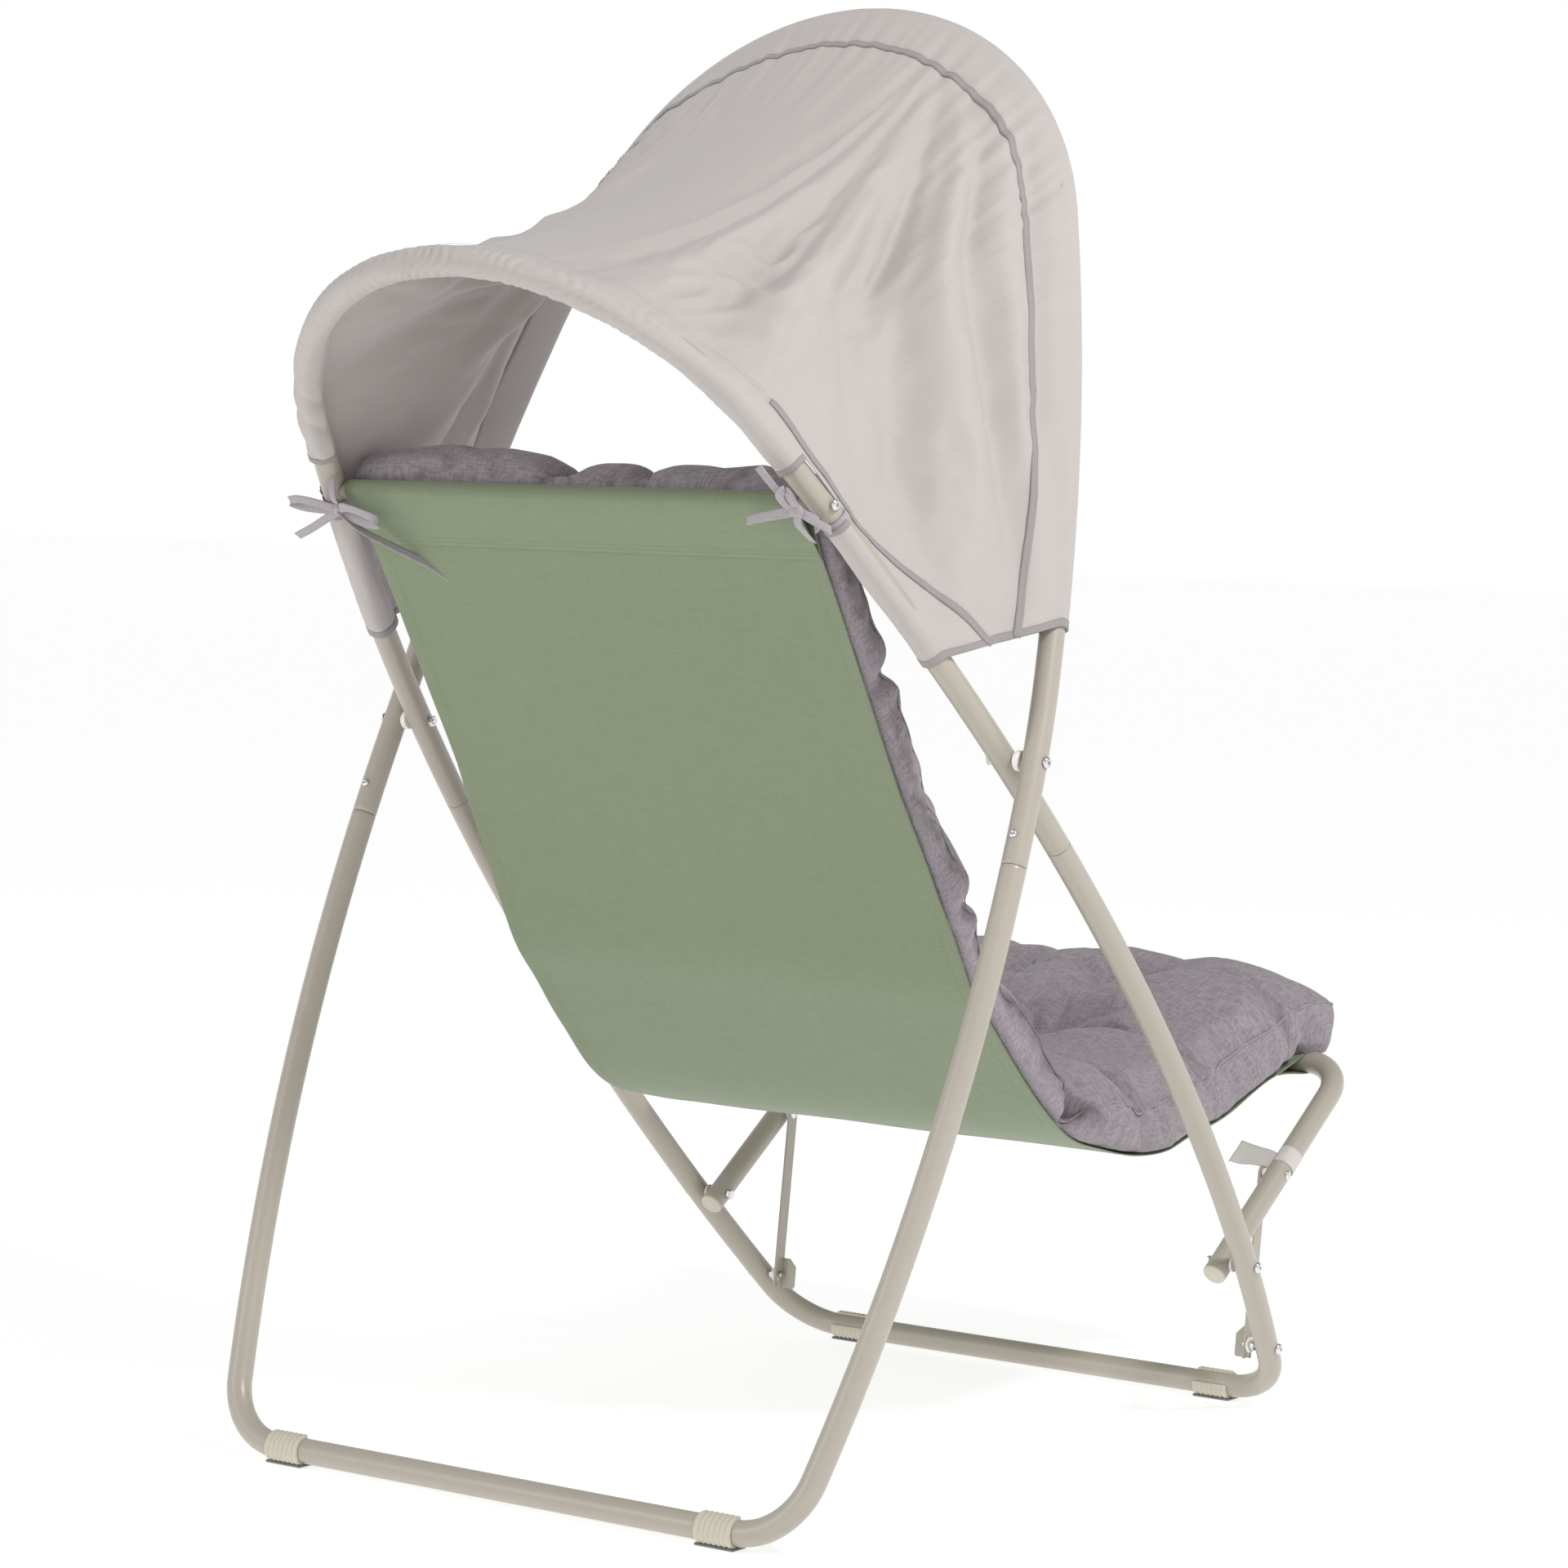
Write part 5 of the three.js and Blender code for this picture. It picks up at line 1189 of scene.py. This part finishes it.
def canopy_section(i, rear_along, front_along):
    """One line across the canopy, from the rear sleeve's seam round both hoops to the front one's."""
    rp, fp = rear_hoop[i], front_hoop[i]
    span = fp - rp
    away = (rp + fp) / 2 - PIVOT

    def basis(tangent):
        to_front = unit(span - tangent * (span @ tangent))
        out = unit(np.cross(tangent, to_front))
        return to_front, out if out @ away > 0 else -out

    rf, ro = basis(rear_along)
    ff, fo = basis(front_along)
    share = i / LAST
    web_a = rp + ro * (SLEEVE_R + 0.3)
    web_b = fp + fo * SLEEVE_R
    out = unit(ro + fo)
    length = float(np.linalg.norm(web_b - web_a))
    rear_width = float(np.interp(rear_rises[i], REAR_SEAM_RISES, REAR_SEAM_WIDTHS))
    rear_share = min(rear_width / length, 0.45)
    front_share = 1 - min(FRONT_SEAM / length, 0.42)
    sag = SAG * math.sin(math.pi * share)

    def web(s):
        p = web_a + (web_b - web_a) * s - out * 4 * sag * s * (1 - s)
        return p + out * web_folds(share, s)

    def round_hoop(centre, forward, up, a, radius):
        turn = math.radians(a)
        return centre + (forward * math.cos(turn) + up * math.sin(turn)) * radius

    section, marks = [], {}
    seam = web(rear_share) - out * 1.0
    inner = rp - ro * (SLEEVE_R + 0.2) + rf * 2
    for s in even(rear_share, 0.02, 8):
        t = (rear_share - s) / rear_share
        section.append(seam + (inner - seam) * t - ro * 2.2 * math.sin(math.pi * t))
    section += [round_hoop(rp, rf, ro, a, rear_sleeve_radius(share, a)) for a in even(-96, -262, 20)]
    marks["web"] = len(section)
    shares = even(0.012, rear_share, 6) + even(rear_share, front_share, WEB_STEPS)[1:]
    section += [web(s) for s in shares + even(front_share, 0.99, 8)[1:]]
    marks["rear_seam"] = marks["web"] + 6
    marks["front_seam"] = marks["rear_seam"] + WEB_STEPS
    for a in even(84, -88, 20):
        section.append(round_hoop(fp, ff, fo, a, SLEEVE_R + 0.15 * wave(share * 70, a / 40, 4.0)))
    seam = web(front_share) - out * 1.0
    inner = fp - fo * SLEEVE_R - ff * 1.5
    for t in even(0.08, 1, 8):
        section.append(inner + (seam - inner) * t - fo * 1.5 * math.sin(math.pi * t))
    return section, marks, out


hoops_along = zip(directions(rear_hoop), directions(front_hoop))
sections = [canopy_section(i, *along) for i, along in enumerate(hoops_along)]
canopy_marks = sections[0][1]
canopy_grid = np.array([s[0] for s in sections])
canopy_outs = np.array([s[2] for s in sections])


def in_notch(i):
    return TOP_BAR_RISE - 22 < rear_rises[i] < TOP_BAR_RISE + 46


def make_canopy():
    rows, columns = canopy_grid.shape[:2]
    along = np.linalg.norm(np.diff(canopy_grid, axis=0), axis=2).mean(1)
    u = np.r_[0, np.cumsum(along)]
    across = np.linalg.norm(np.diff(canopy_grid, axis=1), axis=2)
    v = np.hstack([np.zeros((rows, 1)), np.cumsum(across, axis=1)])
    v -= v[:, [canopy_marks["rear_seam"]]]
    uv = np.stack([np.broadcast_to(u[:, None], v.shape), v], 2).reshape(-1, 2)
    keep = canopy_marks["web"] + 1

    def skip(r, c):
        return c < keep and (in_notch(r) or in_notch(r + 1))

    faces = grid_faces(rows, columns, skip=skip)
    obj = make_mesh("canopy_cloth", canopy_grid.reshape(-1, 3), faces, CANOPY, uv)
    modified(obj, "SOLIDIFY", thickness=0.9 * MM, offset=0.0)
    area = float(across[:-1].sum(1) @ along) * MM**2
    middle = v[LAST // 2]
    return apply_modifiers(obj), area, float(u[-1]) * MM, float(middle[-1] - middle[0]) * MM


canopy, canopy_area, canopy_long, canopy_wide = make_canopy()


def surface_normals(column):
    """The canopy's outer side along one of its columns."""
    across = canopy_grid[:, column + 2] - canopy_grid[:, column - 2]
    normals = unit(np.cross(np.gradient(canopy_grid[:, column], axis=0), across))
    normals *= np.sign((normals * canopy_outs).sum(1))[:, None]
    for _ in range(4):
        normals[1:-1] = (normals[:-2] + normals[1:-1] + normals[2:]) / 3
    return unit(normals)


def canopy_trims():
    """Bindings on the seams, hems and sleeve ends, and the seams' double stitches."""
    made, lines, stitch_normals = [], [], []
    bare = sum(rise < REAR_BINDING_TOP for rise in rear_rises) // 2
    ends = [slice(0, bare), slice(LAST + 1 - bare, LAST + 1)]
    for name, parts in (("front", [slice(0, LAST + 1)]), ("rear", ends)):
        column = canopy_marks[f"{name}_seam"]
        line = canopy_grid[:, column]
        outs = surface_normals(column)
        for part, rows in enumerate(parts):
            binding = f"canopy_{name}_binding_{part}"
            made.append(strip_on(binding, line[rows], outs[rows], 8.0, BINDING, lift=1.3))
        across = unit(np.cross(directions(line), outs))
        for side in (-2.4, 2.4):
            lines.append(line + across * side + outs * 1.8)
            stitch_normals.append(outs)

    def edge_binding(name, row, inward, count, back_by, width, thick):
        line = canopy_grid[row, :count]
        step = unit(canopy_grid[row + inward, :count] - line)
        made.append(ribbon(name, line + step * back_by, step, width, BINDING, thick))

    edge_binding("canopy_hem_right", LAST, -1, None, 3.6, 8.4, 2.3)
    edge_binding("canopy_hem_left", 0, 1, None, 3.6, 8.4, 2.3)
    for i in range(LAST):
        if in_notch(i) != in_notch(i + 1):
            row, inward = (i + 1, 1) if in_notch(i) else (i, -1)
            name = f"canopy_sleeve_end_{i}"
            edge_binding(name, row, inward, canopy_marks["web"] + 2, 2.0, 6.5, 2.0)
    made.append(stitches("canopy_stitches", lines, stitch_normals, THREAD_GREY, length=3.0, gap=1.5))
    return [apply_modifiers(piece) for piece in made]


trims = canopy_trims()


# Ties: a band round the tube, and a bow of flat strap


def frame_point(x, rise, off):
    return back.at(x, rise) + back.back * off


def strap(name, controls, across, width, twist):
    line, _ = curve_through([frame_point(*c) for c in controls], 60)
    turned = []
    for k, direction in enumerate(directions(line)):
        w = unit(across - direction * (across @ direction))
        spin = Matrix.Rotation(twist * k / len(line), 3, Vector(direction))
        turned.append(np.array(spin @ Vector(w)))
    return ribbon(name, line, turned, width, TIE, 0.9)


def knot(name, centre, radius):
    points = []
    rings, around = 14, 20
    for a in even(0, math.pi, rings):
        for k in range(around):
            b = 2 * math.pi * k / around
            crush = 1 + 0.12 * math.cos(3 * b + 2 * a) + 0.08 * wave(a * 2, b * 2, 3.3)
            r = radius * crush
            sideways = np.array([1, 0, 0]) * r * math.sin(a) * math.cos(b) * 1.1
            outward = back.back * r * math.sin(a) * math.sin(b) * 0.8
            points.append(centre + back.up * r * math.cos(a) * 1.05 + sideways + outward)
    faces = grid_faces(rings + 1, around, wrap=True)
    obj = make_mesh(name, points, faces, TIE, [(p[0], p[2]) for p in points])
    return modified(obj, "SUBSURF", levels=1, render_levels=1)


def tie_band(name, sign, rise):
    centre = back.side(sign, rise)
    along = unit(back.side(sign, rise + 1) - back.side(sign, rise - 1))
    side = unit(np.cross(back.back, along))
    turns = even(0, 2 * math.pi, 48)
    line = [centre + (side * math.cos(a) + back.back * math.sin(a)) * 14.0 for a in turns]
    return ribbon(name, line, along, 8.5, TIE, 1.0)


# A bow: the band's rise, the knot's place and radius, and each strap's points (x, rise, distance
# behind the frame's plane), direction across, width and twist. The links join the knot to the band.
BAND_X = back.half(300)
BOWS = {
    "left": (1, 316, (279, 323, 25), 6.8, {
        "link": ([(BAND_X - 14, 316, 6), (BAND_X - 16, 318, 15), (279, 322, 24)], [0, 0.3, 1], 8.5, 0),
        "link_b": ([(279, 324, 25), (280, 338, 24), (282, 350, 12), (284, 352, -4)], [1, 0, 0.2], 8, 0),
        "loop_a": ([
            (279, 323, 26), (264, 332, 32), (246, 332, 36), (230, 320, 34), (232, 309, 30),
            (250, 308, 28), (266, 315, 27), (279, 322, 26),
        ], [0, 0.5, 1], 9.5, 0.5),
        "loop_b": ([
            (279, 323, 26), (296, 335, 31), (316, 343, 34), (331, 338, 32), (322, 329, 29),
            (300, 324, 27), (279, 322, 26),
        ], [0, 0.5, 1], 9, -0.4),
        "tail_a": ([
            (279, 322, 27), (262, 302, 30), (240, 272, 22), (213, 240, 14), (197, 222, 13),
        ], [1, 0, 1], 9.5, 0.25),
        "tail_b": ([(279, 322, 27), (300, 313, 30), (326, 300, 30), (356, 285, 26)], [0, 0.4, 1], 8.5, -0.5),
    }),
    "right": (-1, 306, (-296, 346, 31), 7.0, {
        "link": ([
            (14 - BAND_X, 306, 6), (12 - BAND_X, 311, 18), (-310, 328, 26), (-296, 345, 30),
        ], [0, 0.3, 1], 8.5, 0),
        "link_b": ([
            (8 - BAND_X, 304, 12), (-318, 316, 24), (-308, 332, 29), (-296, 345, 30),
        ], [0, 0.3, 1], 7.5, 0),
        "tail_a": ([
            (-296, 346, 31), (-294, 366, 36), (-287, 384, 35), (-279, 400, 32),
        ], [1, 0, 0.2], 7.5, 0.6),
        "tail_b": ([
            (-296, 345, 31), (-277, 344, 35), (-254, 338, 33), (-231, 329, 28),
        ], [0, 0.2, 1], 9.5, 0.3),
        "tail_c": ([
            (-296, 344, 31), (-293, 330, 33), (-288, 312, 25), (-283, 293, 16),
        ], [1, 0, 0], 9, 0.25),
        "loop": ([
            (-296, 346, 31), (-303, 362, 36), (-301, 377, 37), (-294, 372, 39), (-292, 358, 36),
            (-296, 347, 33),
        ], [1, 0.3, 0], 8, 0),
    }),
}

for side, (sign, rise, place, radius, straps) in BOWS.items():
    parts = [tie_band(f"tie_band_{side}", sign, rise)]
    parts.append(knot(f"tie_knot_{side}", frame_point(*place), radius))
    parts += [strap(f"tie_{name}_{side}", *values) for name, values in straps.items()]
    bow = join_objects(f"tie_bow_{side}", [apply_modifiers(part) for part in parts])
    finish_piece(bow, "back_frame", [f"tie_{side}"])


# Blank flag label on the right arm

LABEL_ALONG = 161.0
LABEL_FLAT = 46.0


def make_label():
    r = TUBE_R + 0.7
    profile = [(r * math.cos(a), r * math.sin(a)) for a in even(math.radians(-300), math.radians(-20), 30)]
    slope = math.tan(math.radians(12))
    profile += [(r + s, -2 + s * slope + 1.2 * math.sin(s / 8)) for s in even(1, LABEL_FLAT, 20)]
    x, y = profile[-1]
    profile += [(x + 3.5 * math.sin(a), y - 3.5 * (1 - math.cos(a))) for a in even(0.15, 1.3, 6)]
    steps = lengths(profile)
    middle = seat_pivot - [seat_half, 0, 0] + seat_forward * LABEL_ALONG
    points, uv = [], []
    for (across, up), s in zip(profile, steps):
        wide = 12 + 5 * clamp((across - r) / LABEL_FLAT)
        for k in even(-wide, wide, 8):
            rise = up + 0.5 * wave(s / 12, k / 14, 2.0)
            points.append(middle + [across, 0, 0] + seat_forward * k + seat_up * rise)
            uv.append((k, s))
    obj = make_mesh("label_strip", points, grid_faces(len(profile), 9), LABEL, uv)
    modified(obj, "SOLIDIFY", thickness=0.45 * MM, offset=0.0)
    finish_piece(apply_modifiers(obj), "seat_frame_body", ["label_flag"])


make_label()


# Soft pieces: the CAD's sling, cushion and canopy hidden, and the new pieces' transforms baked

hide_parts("sling")
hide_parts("cushion")
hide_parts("canopy")

for piece in [canopy] + trims:
    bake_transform(piece)

for piece in cushion_seams:
    apply_modifiers(piece)
for piece in [sling, sling_thread, cushion] + cushion_seams:
    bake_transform(piece)


# Floor, light and camera

FLOOR_HALF = 40000


def make_floor():
    corners = [(-1, -1, 0), (1, -1, 0), (1, 1, 0), (-1, 1, 0)]
    paint = hard_material("floor_paint", (0.55, 0.55, 0.55), 0.8, 40.0, 0.0002, spread=0.01)
    floor = make_mesh("floor", np.array(corners) * FLOOR_HALF, [(0, 1, 2, 3)], paint)
    floor.location.z = -0.0006
    shader = paint.node_tree.nodes["Principled BSDF"]
    shader.inputs["Emission Color"].default_value = (1.0, 1.0, 1.0, 1)
    shader.inputs["Emission Strength"].default_value = 0.7
    floor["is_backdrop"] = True


def make_world():
    """A white room that is brighter near the horizon than above."""
    world = bpy.data.worlds.new("studio")
    bpy.context.scene.world = world
    world.use_nodes = True
    tree = world.node_tree
    sky = tree.nodes.new("ShaderNodeTexCoord").outputs["Generated"]
    parts = tree.nodes.new("ShaderNodeSeparateXYZ")
    fade = tree.nodes.new("ShaderNodeMapRange")
    limits = {"From Min": 0.12, "From Max": 0.5, "To Min": 1.0, "To Max": 0.38}
    for socket, value in limits.items():
        fade.inputs[socket].default_value = value
    tree.links.new(sky, parts.inputs[0])
    tree.links.new(parts.outputs[2], fade.inputs["Value"])
    tree.links.new(fade.outputs["Result"], tree.nodes["Background"].inputs[1])
    tree.nodes["Background"].inputs[0].default_value = (1.0, 1.0, 1.0, 1)


def add_object(name, data):
    made = bpy.data.objects.new(name, data)
    bpy.context.scene.collection.objects.link(made)
    return made


# The lamps: place in metres, size and power.
LAMPS = {"key": ((-2.9, 0.6, 3.6), 0.7, 100.0), "fill": ((2.0, 4.0, 1.8), 2.0, 34.0)}


def make_lamps():
    aim = Vector((0, 0, 0.8))
    for name, (place, size, power) in LAMPS.items():
        light = bpy.data.lights.new(name, "AREA")
        light.size = size
        light.energy = power
        lamp = add_object(name, light)
        lamp.location = place
        lamp.rotation_euler = (aim - Vector(place)).to_track_quat("-Z", "Y").to_euler()


def make_camera():
    """The camera solved from the photo: its axes, its place and its lens, for a square picture."""
    right = Vector((-0.80942513, -0.58663563, 0.02626019))
    up = Vector((0.05949872, -0.03744152, 0.99752596))
    forward = Vector((0.58420104, -0.80898503, -0.06521018))
    turn = Matrix((right, up, -forward)).transposed().to_4x4()
    data = bpy.data.cameras.new("camera")
    data.sensor_width = 36.0
    data.lens = 5712.76 / 1920 * data.sensor_width
    data.shift_x = 0.002266
    data.shift_y = -0.001203
    data.clip_end = 200.0
    camera = add_object("camera", data)
    camera.matrix_world = Matrix.Translation((-2.8132, 3.9381, 0.9964)) @ turn
    bpy.context.scene.camera = camera


make_floor()
make_world()
make_lamps()
make_camera()
bpy.context.scene.view_settings.view_transform = "Standard"

bpy.context.view_layer.update()
shown_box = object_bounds()
boxes = {"cad": cad_box, "visual": shown_box}
boxes = {name: [[float(x) for x in corner] for corner in box] for name, box in boxes.items()}
